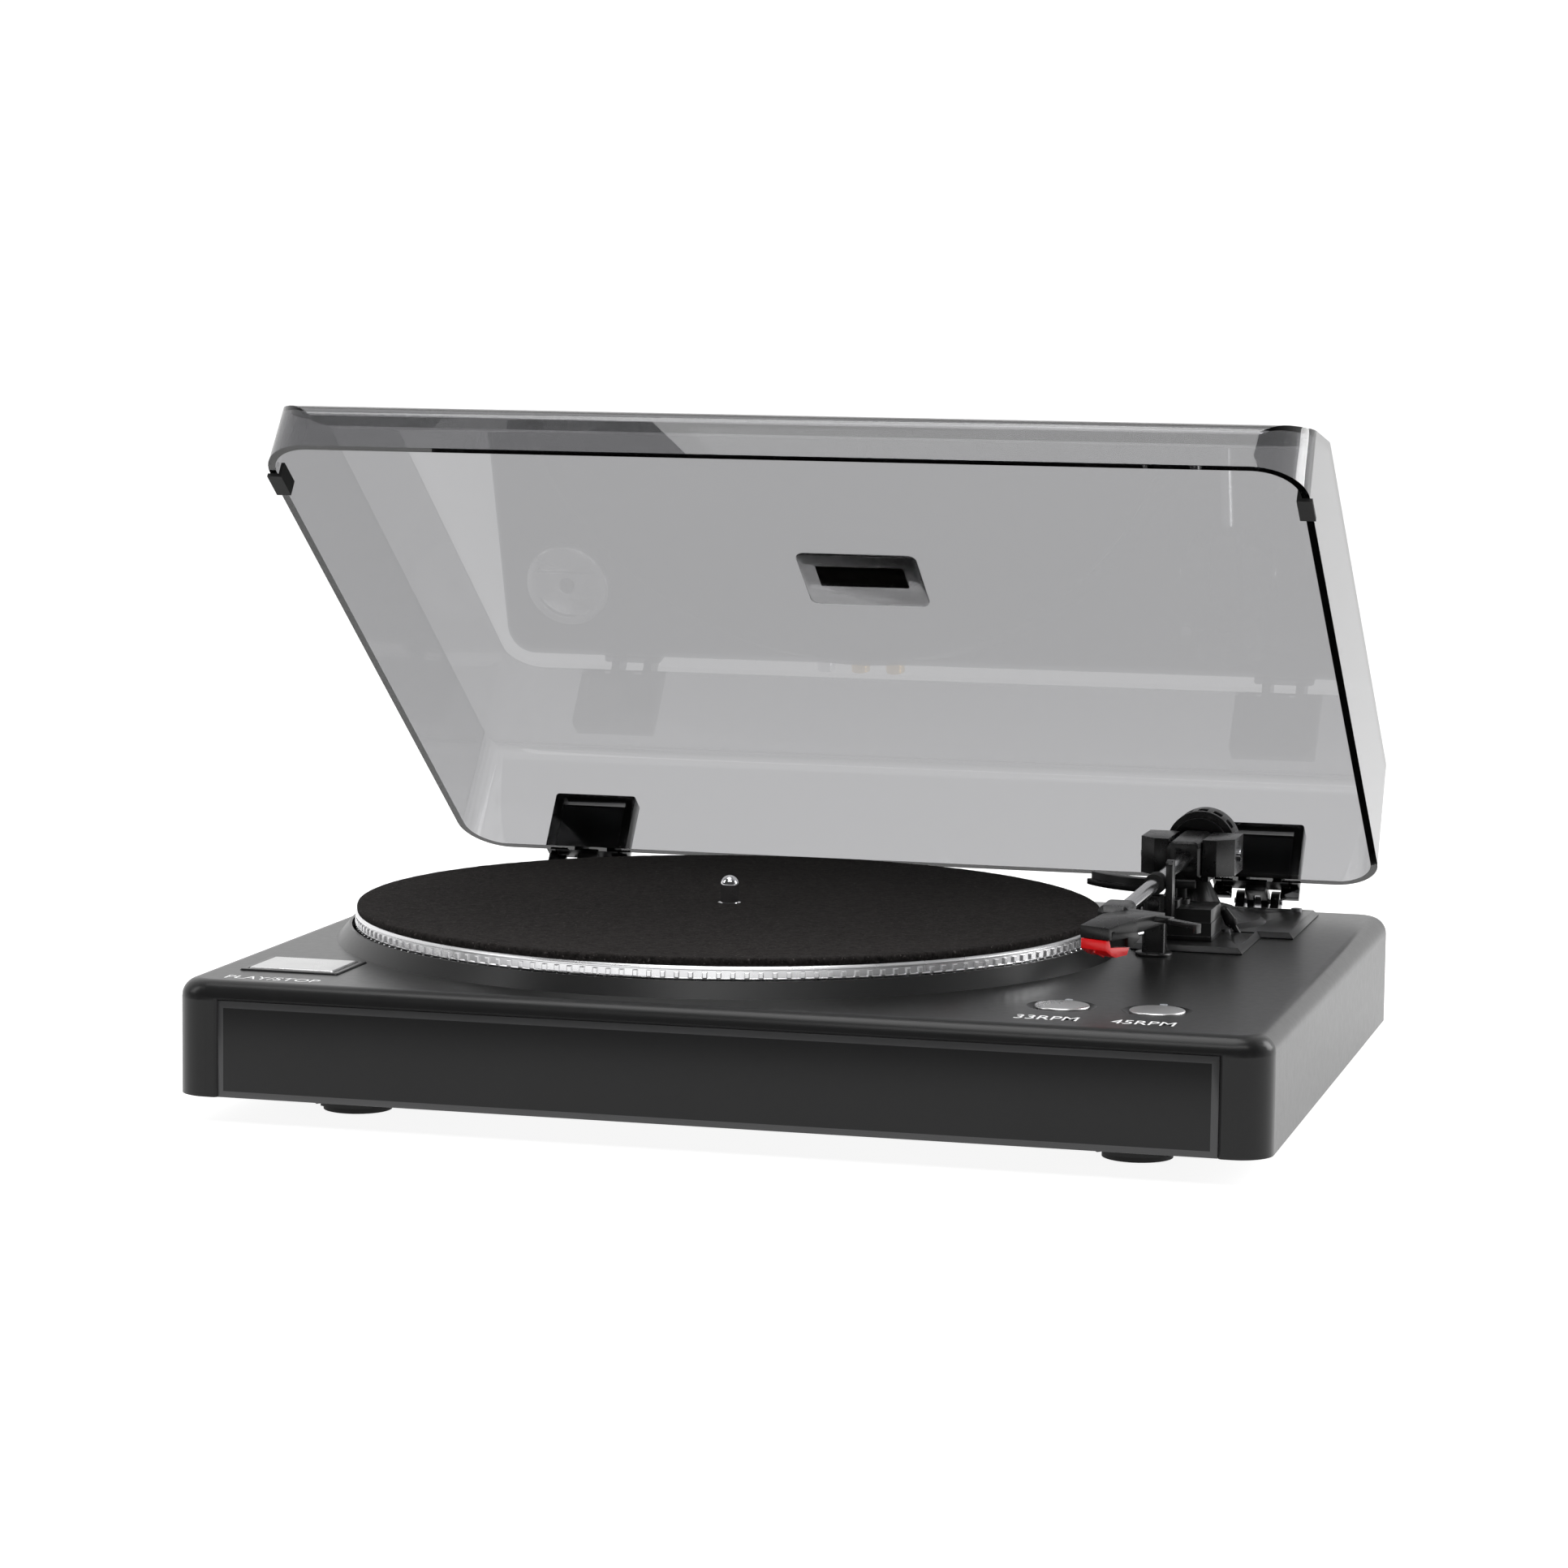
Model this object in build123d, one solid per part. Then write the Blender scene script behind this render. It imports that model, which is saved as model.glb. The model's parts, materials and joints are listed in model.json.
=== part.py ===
from build123d import *
import math
import os

# Belt-drive turntable with a hinged smoke cover, parked tonearm and push-button controls.
# Millimetres, +Z up, +X to the right, +Y to the rear. While the pieces are drawn, y is counted from the
# plinth's front face and x from its middle; a last shift then moves all of them to the middle of the object's box.

# ---- driving dimensions ----
plinth_w = 409.4
plinth_d = 328.5
plinth_h = 43.2
plinth_corner_r = 13.0
plinth_edge_r = 7.0
wall = 3.0
front_wall = 6.0
deck_t = 3.0
foot_h = 10.5
foot_r = 16.5
foot_inset_x = 55.0
foot_inset_y = 50.0
pad_t = 2.5
bottom_t = 2.0
panel_side = 17.8
panel_drop = 6.8
panel_t = 2.5
panel_bevel = 1.0
panel_border = 2.6
gap = 0.1
screw_r = 1.5

platter_x = -38.1
platter_y = 171.7
platter_r = 147.8
platter_rim_w = 4.0
platter_rim_h = 14.2
platter_top = 11.0
platter_t = 3.4
mat_inset = 0.5
mat_t = 3.1
subrim_to_pulley = 27.0
subrim_w = 3.0
subrim_h = 12.0
spindle_r = 3.575
spindle_seat_r = 4.5
spindle_h = 10.8
shaft_r = 3.5
running = 0.05
well_depth = 8.0
well_floor_t = 2.5
well_wall = 2.5
ring_gap = 1.4
ring_lip = 1.0
ring_h = 6.0
ring_run_out = 7.3
pulley_r = 6.0
pulley_from_edge = 35.8
pulley_angle = 225.0
motor_r = 16.0
motor_h = 20.0
belt_t = 0.8
belt_w = 5.0
belt_gap = 0.3

arm_x = 131.0
arm_y = 265.0
arm_z = 73.0
arm_droop = 1.2
collar_r = 4.1
tube_r = 2.8
tube_end = 160.0
yoke_half = 19.2
yoke_front = 15.0
yoke_rear = 12.0
yoke_high = 7.5
yoke_facet = 6.5
centre_half = 6.6
side_gap = 0.3
pivot_pin_r = 1.5
yaw_shaft_r = 3.0
weight_r = 14.2
weight_len = 19.0
weight_start = 19.0
stub_r = 4.0
plateau_h = 2.5
offset_angle = 25.0
nose_reach = 198.5
nose_side = -1.8
lift_radius = 43.0
lift_travel = 4.0
rest_y = 182.0

lid_side_inset = 4.05
lid_front_inset = 11.0
lid_h = 47.9
lid_front_h = 19.0
lid_slope = 54.5
lid_wall = 2.8
lid_corner_r = 20.0
lid_gap = 1.7
lid_rear_inset = 2.0
rear_draft = 5.4
side_draft = 1.2
lid_open = 35.8
hinge_x = 147.3
hinge_behind = 13.9
hinge_above_rim = -1.2
knuckle_r = 4.6
hinge_pin_r = 1.5
socket_w = 36.5
socket_h = 27.6
socket_depth = 8.5

# ---- derived levels, from the floor up ----
base_z = foot_h
deck_z = base_z + plinth_h
rim_z = deck_z + lid_gap
hinge_z = rim_z + hinge_above_rim
well_floor_z = deck_z - well_depth
platter_top_z = deck_z + platter_top
platter_under_z = platter_top_z - platter_t
mat_top_z = platter_top_z + mat_t
spindle_top_z = mat_top_z + spindle_h
well_r = platter_r + ring_gap
mat_r = platter_r - mat_inset
ring_base_r = platter_r + ring_run_out
pulley_distance = platter_r - pulley_from_edge
subrim_r = pulley_distance - subrim_to_pulley
lid_w = plinth_w - 2 * lid_side_inset
lid_rear = plinth_d - lid_rear_inset
lid_d = lid_rear - lid_front_inset
hinge_y = plinth_d + hinge_behind
pivot_z = base_z + arm_z
plateau_z = deck_z + plateau_h
half_w = plinth_w / 2
foot_x = half_w - foot_inset_x
pulley_x = platter_x + pulley_distance * math.cos(math.radians(pulley_angle))
pulley_y = platter_y + pulley_distance * math.sin(math.radians(pulley_angle))

nodes = {}


def slab(x0, x1, y0, y1, z0, z1):
    """A plain block between two corners."""
    return Pos((x0 + x1) / 2, (y0 + y1) / 2, (z0 + z1) / 2) * Box(x1 - x0, y1 - y0, z1 - z0)


def rounded(x0, x1, y0, y1, z0, z1, r):
    """A block whose upright edges are rounded."""
    body = slab(x0, x1, y0, y1, z0, z1)
    return fillet(body.edges().filter_by(Axis.Z), r)


def post(r, z0, z1, x=0.0, y=0.0):
    """An upright cylinder between two levels."""
    return Pos(x, y, (z0 + z1) / 2) * Cylinder(r, z1 - z0)


def tube(r_out, r_in, z0, z1, x=0.0, y=0.0):
    """An upright sleeve between two levels."""
    return post(r_out, z0, z1, x, y) - post(r_in, z0 - 1, z1 + 1, x, y)


def taper(r0, r1, z0, z1, x=0.0, y=0.0):
    """An upright cone, r0 at the bottom and r1 at the top."""
    return Pos(x, y, (z0 + z1) / 2) * Cone(r0, r1, z1 - z0)


def rod_x(r, x0, x1, y, z):
    """A cylinder along X."""
    return Pos((x0 + x1) / 2, y, z) * Rot(0, 90, 0) * Cylinder(r, x1 - x0)


def rod_y(r, y0, y1, x, z):
    """A cylinder along Y."""
    return Pos(x, (y0 + y1) / 2, z) * Rot(90, 0, 0) * Cylinder(r, y1 - y0)


def prism_x(points, x0, x1):
    """A block with the given (y, z) outline, from x0 to x1."""
    outline = Plane.YZ * make_face(Polyline(points, close=True))
    return Pos(x0, 0, 0) * extrude(outline, amount=x1 - x0, dir=(1, 0, 0))


def prism_z(points, z0, z1):
    """A plate with the given (x, y) outline, from z0 to z1."""
    outline = make_face(Polyline(points, close=True))
    return Pos(0, 0, z0) * extrude(outline, amount=z1 - z0, dir=(0, 0, 1))


def screw(x, y, z_head, length, head_r=2.8, head_t=1.8, up=False):
    """A pan-head screw: the head's seat is at z_head and the shank goes down, or up."""
    if up:
        shank = post(screw_r, z_head, z_head + length, x, y)
        head = post(head_r, z_head - head_t, z_head, x, y)
    else:
        shank = post(screw_r, z_head - length, z_head, x, y)
        head = post(head_r, z_head, z_head + head_t, x, y)
    return shank + head


def opened(shape):
    """Turns a cover piece from its closed place to the open rest place."""
    hinge = Pos(0, hinge_y, hinge_z)
    return hinge * Rot(-lid_open, 0, 0) * hinge.inverse() * shape


def arm_part(shape):
    """Places a piece drawn about the arm's pivot, with the parked arm's small droop."""
    return Pos(arm_x, arm_y, pivot_z) * Rot(arm_droop, 0, 0) * shape


def yoke_part(shape):
    """Places a level piece drawn about the arm's pivot."""
    return Pos(arm_x, arm_y, pivot_z) * shape


def shell_part(shape):
    """Places a headshell piece: x across, y from the nose to the rear, z from the arm's axis."""
    return arm_part(Pos(nose_side, -nose_reach, 0) * Rot(0, 0, -offset_angle) * shape)


# ---- controls: where they stand on the deck ----
play_x = -170.0
play_y = 46.0
play_w = 33.6
play_d = 27.0
play_bezel_w = 39.6
play_bezel_d = 33.0
bezel_t = 1.6
speed_y = 49.0
speed_spots = {"33": 121.0, "45": 156.0}
speed_r = 10.2
speed_dish_r = 12.8
speed_dish_t = 1.4
button_fit = 0.3
button_travel = 2.0
button_proud = 0.5
button_skirt = 6.0
led_ahead = 13.3
led_r = 1.5
switch_drop = 14.0
switch_size = 6.0
switch_h = 3.5
board_t = 1.6
adapter_x = -172.0
adapter_y = 292.0
adapter_r = 19.0
adapter_h = 4.5
adapter_seat = 2.0
switch_z = deck_z - switch_drop

# ---- rear terminals ----
rear_panel_x0 = -112.0
rear_panel_x1 = -12.0
rear_panel_z0 = base_z + 8.0
rear_panel_z1 = base_z + 32.0
rear_panel_t = 1.6
terminal_z = (rear_panel_z0 + rear_panel_z1) / 2
rca_spots = {"left": -30.0, "right": -46.0}
rca_r = 4.15
rca_len = 9.0
rca_bore = 1.7
ground_x = -62.0
slide_x = -79.0
slide_travel = 4.0
inlet_x = -99.0
inlet_r = 2.75


def plinth_shell():
    """The moulded top: walls, deck, raised platter ring, well, button holes and seats."""
    body = slab(-half_w, half_w, 0, plinth_d, base_z, deck_z)
    body = fillet(body.edges().filter_by(Axis.Z), plinth_corner_r)
    body = fillet(body.faces().sort_by(Axis.Z)[-1].edges(), plinth_edge_r)
    hollow = slab(-half_w + wall, half_w - wall, front_wall, plinth_d - wall, base_z - 1, deck_z - deck_t)
    body -= fillet(hollow.edges().filter_by(Axis.Z), plinth_corner_r - wall)
    under_ring = deck_z - deck_t
    body += post(well_r + well_wall, well_floor_z - well_floor_t, deck_z, platter_x, platter_y)
    body += post(ring_base_r, under_ring, deck_z, platter_x, platter_y)
    ring = taper(ring_base_r, well_r + ring_lip, deck_z, deck_z + ring_h, platter_x, platter_y)
    body += ring - slab(-half_w, half_w, lid_rear - lid_wall - 2.0, plinth_d + 9, deck_z, deck_z + ring_h + 1)
    body -= post(well_r, well_floor_z, deck_z + ring_h + 1, platter_x, platter_y)
    body -= post(bearing_r + gap, base_z, deck_z, platter_x, platter_y)
    body -= post(shaft_hole_r, base_z, deck_z, pulley_x, pulley_y)
    # front panel seat
    panel_x = half_w - panel_side
    panel_top = deck_z - panel_drop
    body -= slab(-panel_x, panel_x, -1, panel_t, base_z - 1, panel_top)
    opening = Plane.XZ * Rectangle(2 * panel_x, 2 * (panel_top - base_z))
    body -= Pos(0, panel_bevel, base_z) * extrude(opening, amount=panel_bevel + 1, taper=-45)
    # button openings
    body -= rounded(play_x - play_bezel_w / 2, play_x + play_bezel_w / 2, play_y - play_bezel_d / 2,
                    play_y + play_bezel_d / 2, deck_z - bezel_t, deck_z + 1, 1.5)
    body -= slab(play_x - play_w / 2 - button_fit - 1.5, play_x + play_w / 2 + button_fit + 1.5,
                 play_y - play_d / 2 - button_fit - 1.5, play_y + play_d / 2 + button_fit + 1.5,
                 deck_z - deck_t - 1, deck_z)
    for x in speed_spots.values():
        body -= post(speed_r + button_fit, deck_z - deck_t - 1, deck_z + 1, x, speed_y)
        body -= taper(speed_r + button_fit, speed_dish_r, deck_z - speed_dish_t, deck_z, x, speed_y)
        body -= post(led_r + gap, deck_z - deck_t - 1, deck_z + 1, x, speed_y + led_ahead)
    # seat of the large-hole adapter
    body -= post(adapter_r + 0.5, deck_z - adapter_seat, deck_z + 1, adapter_x, adapter_y)
    body += post(adapter_pin_r - 0.4, deck_z - adapter_seat, deck_z + adapter_h - adapter_seat - 0.6,
                 adapter_x, adapter_y)
    # tonearm shaft way and cue lever slot
    body -= post(pedestal_stem_r + gap, deck_z - deck_t - 1, deck_z + 1, arm_x, arm_y)
    body -= slab(cue_x - 4.5, cue_x + 4.5, cue_y - 2.0, cue_y + 2.0, deck_z - deck_t - 1, deck_z + 1)
    body -= slab(cue_x - 1, cue_x + 1, cue_y - 5.5, cue_y + 5.5, deck_z - 2, deck_z + 1)
    # openings in the rear wall, behind the terminal plate
    body -= slab(rear_panel_x0 + 4, rear_panel_x1 - 4, plinth_d - wall - 1, plinth_d + 1,
                 rear_panel_z0 + 3, rear_panel_z1 - 3)
    # bosses for the bottom screws
    for x, y in boss_spots:
        body += tube(4.0, screw_r, base_z + bottom_t + gap, deck_z - deck_t, x, y)
    return body


bearing_r = 8.0
shaft_hole_r = 4.0
adapter_pin_r = spindle_r + 0.1
pedestal_stem_r = 9.0
cue_x = 157.3
cue_y = 237.0
boss_spots = [(sx * (half_w - 11), y) for sx in (-1, 1) for y in (14.5, plinth_d / 2, plinth_d - 12)]

nodes["plinth_shell"] = plinth_shell()

# ---- front panel, bottom and feet ----
panel_x = half_w - panel_side - gap
panel_top = deck_z - panel_drop - gap
panel_back = panel_t - gap
front_panel = prism_x([(0, base_z + panel_border), (panel_bevel, base_z), (panel_back, base_z),
                       (panel_back, panel_top), (panel_bevel, panel_top), (0, panel_top - panel_border)],
                      -panel_x, panel_x)
front_panel &= prism_z([(panel_border - panel_x, 0), (panel_x - panel_border, 0), (panel_x, panel_bevel),
                        (panel_x, panel_back), (-panel_x, panel_back), (-panel_x, panel_bevel)],
                       base_z, panel_top)
nodes["front_panel"] = front_panel

bottom = slab(-half_w + wall + gap, half_w - wall - gap, front_wall + gap, plinth_d - wall - gap,
              base_z, base_z + bottom_t)
bottom = fillet(bottom.edges().filter_by(Axis.Z), plinth_corner_r - wall - gap)
for x, y in boss_spots:
    bottom -= post(screw_r + 0.2, base_z - 1, base_z + bottom_t + 1, x, y)
foot_spots = [(x, y) for x in (-foot_x, foot_x) for y in (foot_inset_y, plinth_d - foot_inset_y)]
for x, y in foot_spots:
    bottom -= post(screw_r + 0.2, base_z - 1, base_z + bottom_t + 1, x, y)
for row in range(6):
    vent_y = 120 + 8 * row
    bottom -= slab(70, 110, vent_y, vent_y + 3, base_z - 1, base_z + bottom_t + 1)
nodes["bottom_plate"] = bottom

feet = []
foot_pads = []
bottom_screws = [screw(x, y, base_z, 12, up=True, head_t=1.2) for x, y in boss_spots]
for x, y in foot_spots:
    foot = post(foot_r, pad_t, base_z, x, y)
    foot = chamfer(foot.edges().sort_by(Axis.Z)[-1], 1.5)
    foot -= post(screw_r + 0.2, 0, base_z + 1, x, y)
    foot -= post(5.0, 0, pad_t + 3, x, y)
    for turn in range(4):
        groove = slab(foot_r - 2.5, foot_r + 1, -2, 2, pad_t - 1, pad_t + 2)
        foot -= Pos(x, y, 0) * Rot(0, 0, 45 + 90 * turn) * groove
    feet.append(foot)
    foot_pads.append(tube(foot_r - 3.5, 5.0, 0, pad_t, x, y))
    bottom_screws.append(screw(x, y, pad_t + 3, base_z + bottom_t - pad_t, up=True))
nodes["feet"] = Compound(children=feet)
nodes["foot_pads"] = Compound(children=foot_pads)
nodes["bottom_screws"] = Compound(children=bottom_screws)

# ---- platter, spindle and bearing ----
platter = post(platter_r, platter_top_z - platter_rim_h, platter_top_z)
platter -= post(platter_r - platter_rim_w, platter_top_z - platter_rim_h - 1, platter_under_z)
platter += tube(subrim_r, subrim_r - subrim_w, platter_under_z - subrim_h, platter_under_z)
platter += post(14.0, platter_under_z - 8, platter_under_z)
platter -= post(spindle_seat_r, platter_top_z - 30, platter_top_z + 1)
band = tube(platter_r + 1, platter_r - 0.6, platter_top_z - 8.4, platter_top_z - 2.2)
platter = fillet(platter.faces().sort_by(Axis.Z)[-1].edges().sort_by(SortBy.RADIUS)[-1], 1.2) - band
nodes["platter"] = Pos(platter_x, platter_y, 0) * platter
nodes["platter_mat"] = tube(mat_r, spindle_seat_r + 0.25, platter_top_z, mat_top_z, platter_x, platter_y)

thrust_z = base_z + 8
spindle = post(spindle_seat_r, platter_under_z - 8, mat_top_z)
spindle += post(spindle_r, mat_top_z, spindle_top_z - spindle_r)
spindle += Pos(0, 0, spindle_top_z - spindle_r) * Sphere(spindle_r)
spindle += post(shaft_r, thrust_z + 2, platter_under_z - 8)
nodes["platter_spindle"] = Pos(platter_x, platter_y, 0) * spindle

housing = post(bearing_r, thrust_z - 2, well_floor_z)
housing += post(15.0, well_floor_z - well_floor_t - 2.5, well_floor_z - well_floor_t)
housing -= post(5.5, thrust_z + 1.95, well_floor_z + 1)
nodes["bearing_housing"] = Pos(platter_x, platter_y, 0) * housing
nodes["bearing_bush"] = tube(5.5, shaft_r + running, thrust_z + 2, well_floor_z, platter_x, platter_y)
chassis_screws = []
flange_z = well_floor_z - well_floor_t - 2.5
for angle in (30, 150, 270):
    x = platter_x + 11.5 * math.cos(math.radians(angle))
    y = platter_y + 11.5 * math.sin(math.radians(angle))
    chassis_screws.append(screw(x, y, flange_z, 4.0, head_r=2.4, up=True))
    nodes["bearing_housing"] -= post(screw_r, flange_z - 1, well_floor_z - 1, x, y)
    nodes["plinth_shell"] -= post(screw_r, flange_z, well_floor_z - 1, x, y)

# ---- motor, pulley and belt ----
motor_top = well_floor_z - well_floor_t - 3.0
ear_x = 21.0
at_motor = Pos(pulley_x, pulley_y, 0)
motor = post(motor_r, motor_top - motor_h, motor_top) + post(3.1, motor_top, motor_top + 2)
motor += rounded(-ear_x - 5, ear_x + 5, -7, 7, motor_top - 1.5, motor_top, 4)
motor -= post(1.0 + running, motor_top - motor_h + 2, motor_top + 3)
motor += tube(4.0, screw_r, motor_top, well_floor_z - well_floor_t, -ear_x, 0)
motor += tube(4.0, screw_r, motor_top, well_floor_z - well_floor_t, ear_x, 0)
for x in (-ear_x, ear_x):
    motor -= post(screw_r, motor_top - 2, motor_top + 1, x, 0)
    nodes["plinth_shell"] -= at_motor * post(screw_r, motor_top, well_floor_z - 1, x, 0)
nodes["motor"] = at_motor * motor
chassis_screws += [at_motor * screw(x, 0, motor_top - 1.5, 6.0, up=True) for x in (-ear_x, ear_x)]
pulley_z = well_floor_z + 4.5
pulley = post(pulley_r, pulley_z, pulley_z + 8) + post(1.0, motor_top - motor_h + 4, pulley_z + 8)
pulley += post(pulley_r + 1.6, pulley_z, pulley_z + 0.8)
nodes["motor_pulley"] = at_motor * pulley


def belt_outline(offset):
    """The outline of a loop that runs round the drive rim and the pulley at a distance."""
    rim = Pos(platter_x, platter_y) * Circle(subrim_r + offset)
    wheel = Pos(pulley_x, pulley_y) * Circle(pulley_r + offset)
    return make_face(make_hull(rim.edges() + wheel.edges()))


belt_z = pulley_z + 1.5
belt_outer = extrude(belt_outline(belt_gap + belt_t), amount=belt_w, dir=(0, 0, 1))
belt_inner = extrude(belt_outline(belt_gap), amount=belt_w + 2, dir=(0, 0, 1))
nodes["drive_belt"] = Pos(0, 0, belt_z) * (belt_outer - Pos(0, 0, -1) * belt_inner)

# ---- buttons, bezel, switches and lights ----
bezel_x = play_bezel_w / 2 - gap
bezel_y = play_bezel_d / 2 - gap
bezel = rounded(-bezel_x, bezel_x, -bezel_y, bezel_y, deck_z - bezel_t, deck_z + 0.6, 1.4)
bezel = chamfer(bezel.faces().sort_by(Axis.Z)[-1].edges(), 0.5)
bezel += slab(-play_w / 2 - 1.6, play_w / 2 + 1.6, -play_d / 2 - 1.6, play_d / 2 + 1.6,
              deck_z - 6, deck_z - bezel_t)
bezel -= slab(-play_w / 2 - button_fit, play_w / 2 + button_fit, -play_d / 2 - button_fit,
              play_d / 2 + button_fit, deck_z - 7, deck_z + 2)
nodes["play_bezel"] = Pos(play_x, play_y, 0) * bezel
cap_top = deck_z + 0.6 + button_proud
cap = rounded(-play_w / 2, play_w / 2, -play_d / 2, play_d / 2, cap_top - button_skirt, cap_top, 1.0)
cap = chamfer(cap.faces().sort_by(Axis.Z)[-1].edges(), 0.6)
cap += post(2.5, switch_z + switch_h + button_travel + 0.4, cap_top - button_skirt)
nodes["play_stop_button"] = Pos(play_x, play_y, 0) * cap

for speed, x in speed_spots.items():
    round_cap = post(speed_r, deck_z - button_skirt, deck_z + button_proud)
    round_cap = fillet(round_cap.edges().sort_by(Axis.Z)[-1], 0.8)
    round_cap += post(2.5, switch_z + switch_h + button_travel + 0.4, deck_z - button_skirt)
    nodes["speed_button_" + speed] = Pos(x, speed_y, 0) * round_cap

control_spots = [(play_x, play_y)] + [(x, speed_y) for x in speed_spots.values()]
tacts = []
for x, y in control_spots:
    half = switch_size / 2
    tacts.append(slab(x - half, x + half, y - half, y + half, switch_z, switch_z + 2.6)
                 + post(1.7, switch_z + 2.6, switch_z + switch_h, x, y))
nodes["tact_switches"] = Compound(children=tacts)
control_boards = [
    slab(play_x - 25, play_x + 25, play_y - 14, play_y + 14, switch_z - board_t, switch_z),
    slab(speed_spots["33"] - 16, speed_spots["45"] + 16, speed_y - 15, speed_y + 20,
         switch_z - board_t, switch_z)]
nodes["speed_lights"] = Compound(children=[
    post(led_r, switch_z, deck_z + 0.2, x, speed_y + led_ahead) for x in speed_spots.values()])
board_screw_spots = [(play_x - 21.5, play_y - 10), (play_x + 21.5, play_y + 10),
                     (speed_spots["33"] - 12, speed_y - 11), (speed_spots["45"] + 12, speed_y + 16)]
for x, y in board_screw_spots:
    nodes["plinth_shell"] += post(2.6, switch_z, deck_z - deck_t, x, y)

# ---- electronics inside ----
main_x0 = 62.0
main_y0 = 150.0
main_z = base_z + bottom_t + 6
control_boards.append(slab(main_x0, main_x0 + 70, main_y0, main_y0 + 60, main_z, main_z + board_t))
nodes["circuit_boards"] = Compound(children=control_boards)
main_parts = [
    post(5, main_z + board_t, main_z + board_t + 12, main_x0 + 12, main_y0 + 12),
    post(5, main_z + board_t, main_z + board_t + 12, main_x0 + 26, main_y0 + 12),
    slab(main_x0 + 40, main_x0 + 60, main_y0 + 30, main_y0 + 34, main_z + board_t, main_z + board_t + 14),
    slab(main_x0 + 12, main_x0 + 26, main_y0 + 34, main_y0 + 42, main_z + board_t, main_z + board_t + 3),
    slab(main_x0 + 40, main_x0 + 58, main_y0 + 6, main_y0 + 12, main_z + board_t, main_z + board_t + 8),
]
nodes["board_components"] = Compound(children=main_parts)
for x, y in [(main_x0 + dx, main_y0 + dy) for dx in (4, 66) for dy in (4, 56)]:
    nodes["bottom_plate"] += post(3, base_z + bottom_t, main_z, x, y)

# ---- rear terminal plate and what it carries ----
rear_y = plinth_d
rear_plate = slab(rear_panel_x0, rear_panel_x1, rear_y, rear_y + rear_panel_t, rear_panel_z0, rear_panel_z1)
rear_plate = fillet(rear_plate.edges().filter_by(Axis.Y), 2)
plate_out = rear_y + rear_panel_t
for x in rca_spots.values():
    rear_plate -= rod_y(rca_r, rear_y - 1, plate_out + 1, x, terminal_z)
rear_plate -= rod_y(2.0, rear_y - 1, plate_out + 1, ground_x, terminal_z)
rear_plate -= slab(slide_x - 6, slide_x + 6, rear_y - 1, plate_out + 1, terminal_z - 2.2, terminal_z + 2.2)
rear_plate -= rod_y(5.0, rear_y - 1, plate_out + 1, inlet_x, terminal_z)
plate_screws = [(rear_panel_x0 + 4, rear_panel_z1 - 4), (rear_panel_x1 - 4, rear_panel_z0 + 4)]
for x, z in plate_screws:
    rear_plate -= rod_y(screw_r + 0.2, rear_y - 1, plate_out + 1, x, z)
nodes["rear_plate"] = rear_plate
jacks = []
for x in rca_spots.values():
    jack = rod_y(rca_r, rear_y - 6, plate_out + rca_len, x, terminal_z)
    jack += rod_y(rca_r + 1.6, plate_out, plate_out + 1.2, x, terminal_z)
    jack -= rod_y(rca_bore, plate_out + 1, plate_out + rca_len + 1, x, terminal_z)
    jacks.append(jack)
nodes["rca_jacks"] = Compound(children=jacks)
ground = rod_y(2.0, rear_y - 6, plate_out + 9, ground_x, terminal_z)
ground += rod_y(4.0, plate_out + 3, plate_out + 9, ground_x, terminal_z)
nodes["ground_post"] = ground
slide_case = slab(slide_x - 9, slide_x + 9, rear_y - 8, rear_y - 0.2, terminal_z - 4.5, terminal_z + 4.5)
slide_case -= slab(slide_x - 5.8, slide_x + 5.8, rear_y - 5, rear_y, terminal_z - 2, terminal_z + 2)
nodes["slide_switch_case"] = slide_case
nodes["slide_switch_knob"] = slab(slide_x - 5.5, slide_x - 5.5 + 6.5, rear_y - 4.7, plate_out + 1.0,
                                  terminal_z - 1.7, terminal_z + 1.7)
inlet = rod_y(5.0, rear_y - 10, plate_out + 1, inlet_x, terminal_z)
inlet -= rod_y(inlet_r, rear_y - 8, plate_out + 2, inlet_x, terminal_z)
nodes["power_inlet"] = inlet + rod_y(0.9, rear_y - 9, plate_out - 0.5, inlet_x, terminal_z)
rear_screws = [rod_y(screw_r, rear_y - wall, plate_out, x, z) + rod_y(2.8, plate_out, plate_out + 1.6, x, z)
               for x, z in plate_screws]
for x, z in plate_screws:
    nodes["plinth_shell"] -= rod_y(screw_r, rear_y - wall - 1, rear_y + 1, x, z)

# ---- large-hole adapter in its seat ----
adapter = post(adapter_r, deck_z - adapter_seat, deck_z - adapter_seat + adapter_h)
adapter = chamfer(adapter.edges().sort_by(Axis.Z)[-1], 0.8)
adapter -= post(adapter_pin_r, deck_z - adapter_seat - 1, deck_z + adapter_h)
pocket = post(adapter_r - 4, deck_z - adapter_seat + 2, deck_z + adapter_h)
pocket -= slab(-adapter_r, adapter_r, -6, 6, deck_z - adapter_seat, deck_z + adapter_h)
nodes["single_adapter"] = Pos(adapter_x, adapter_y, 0) * (adapter - pocket)

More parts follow.
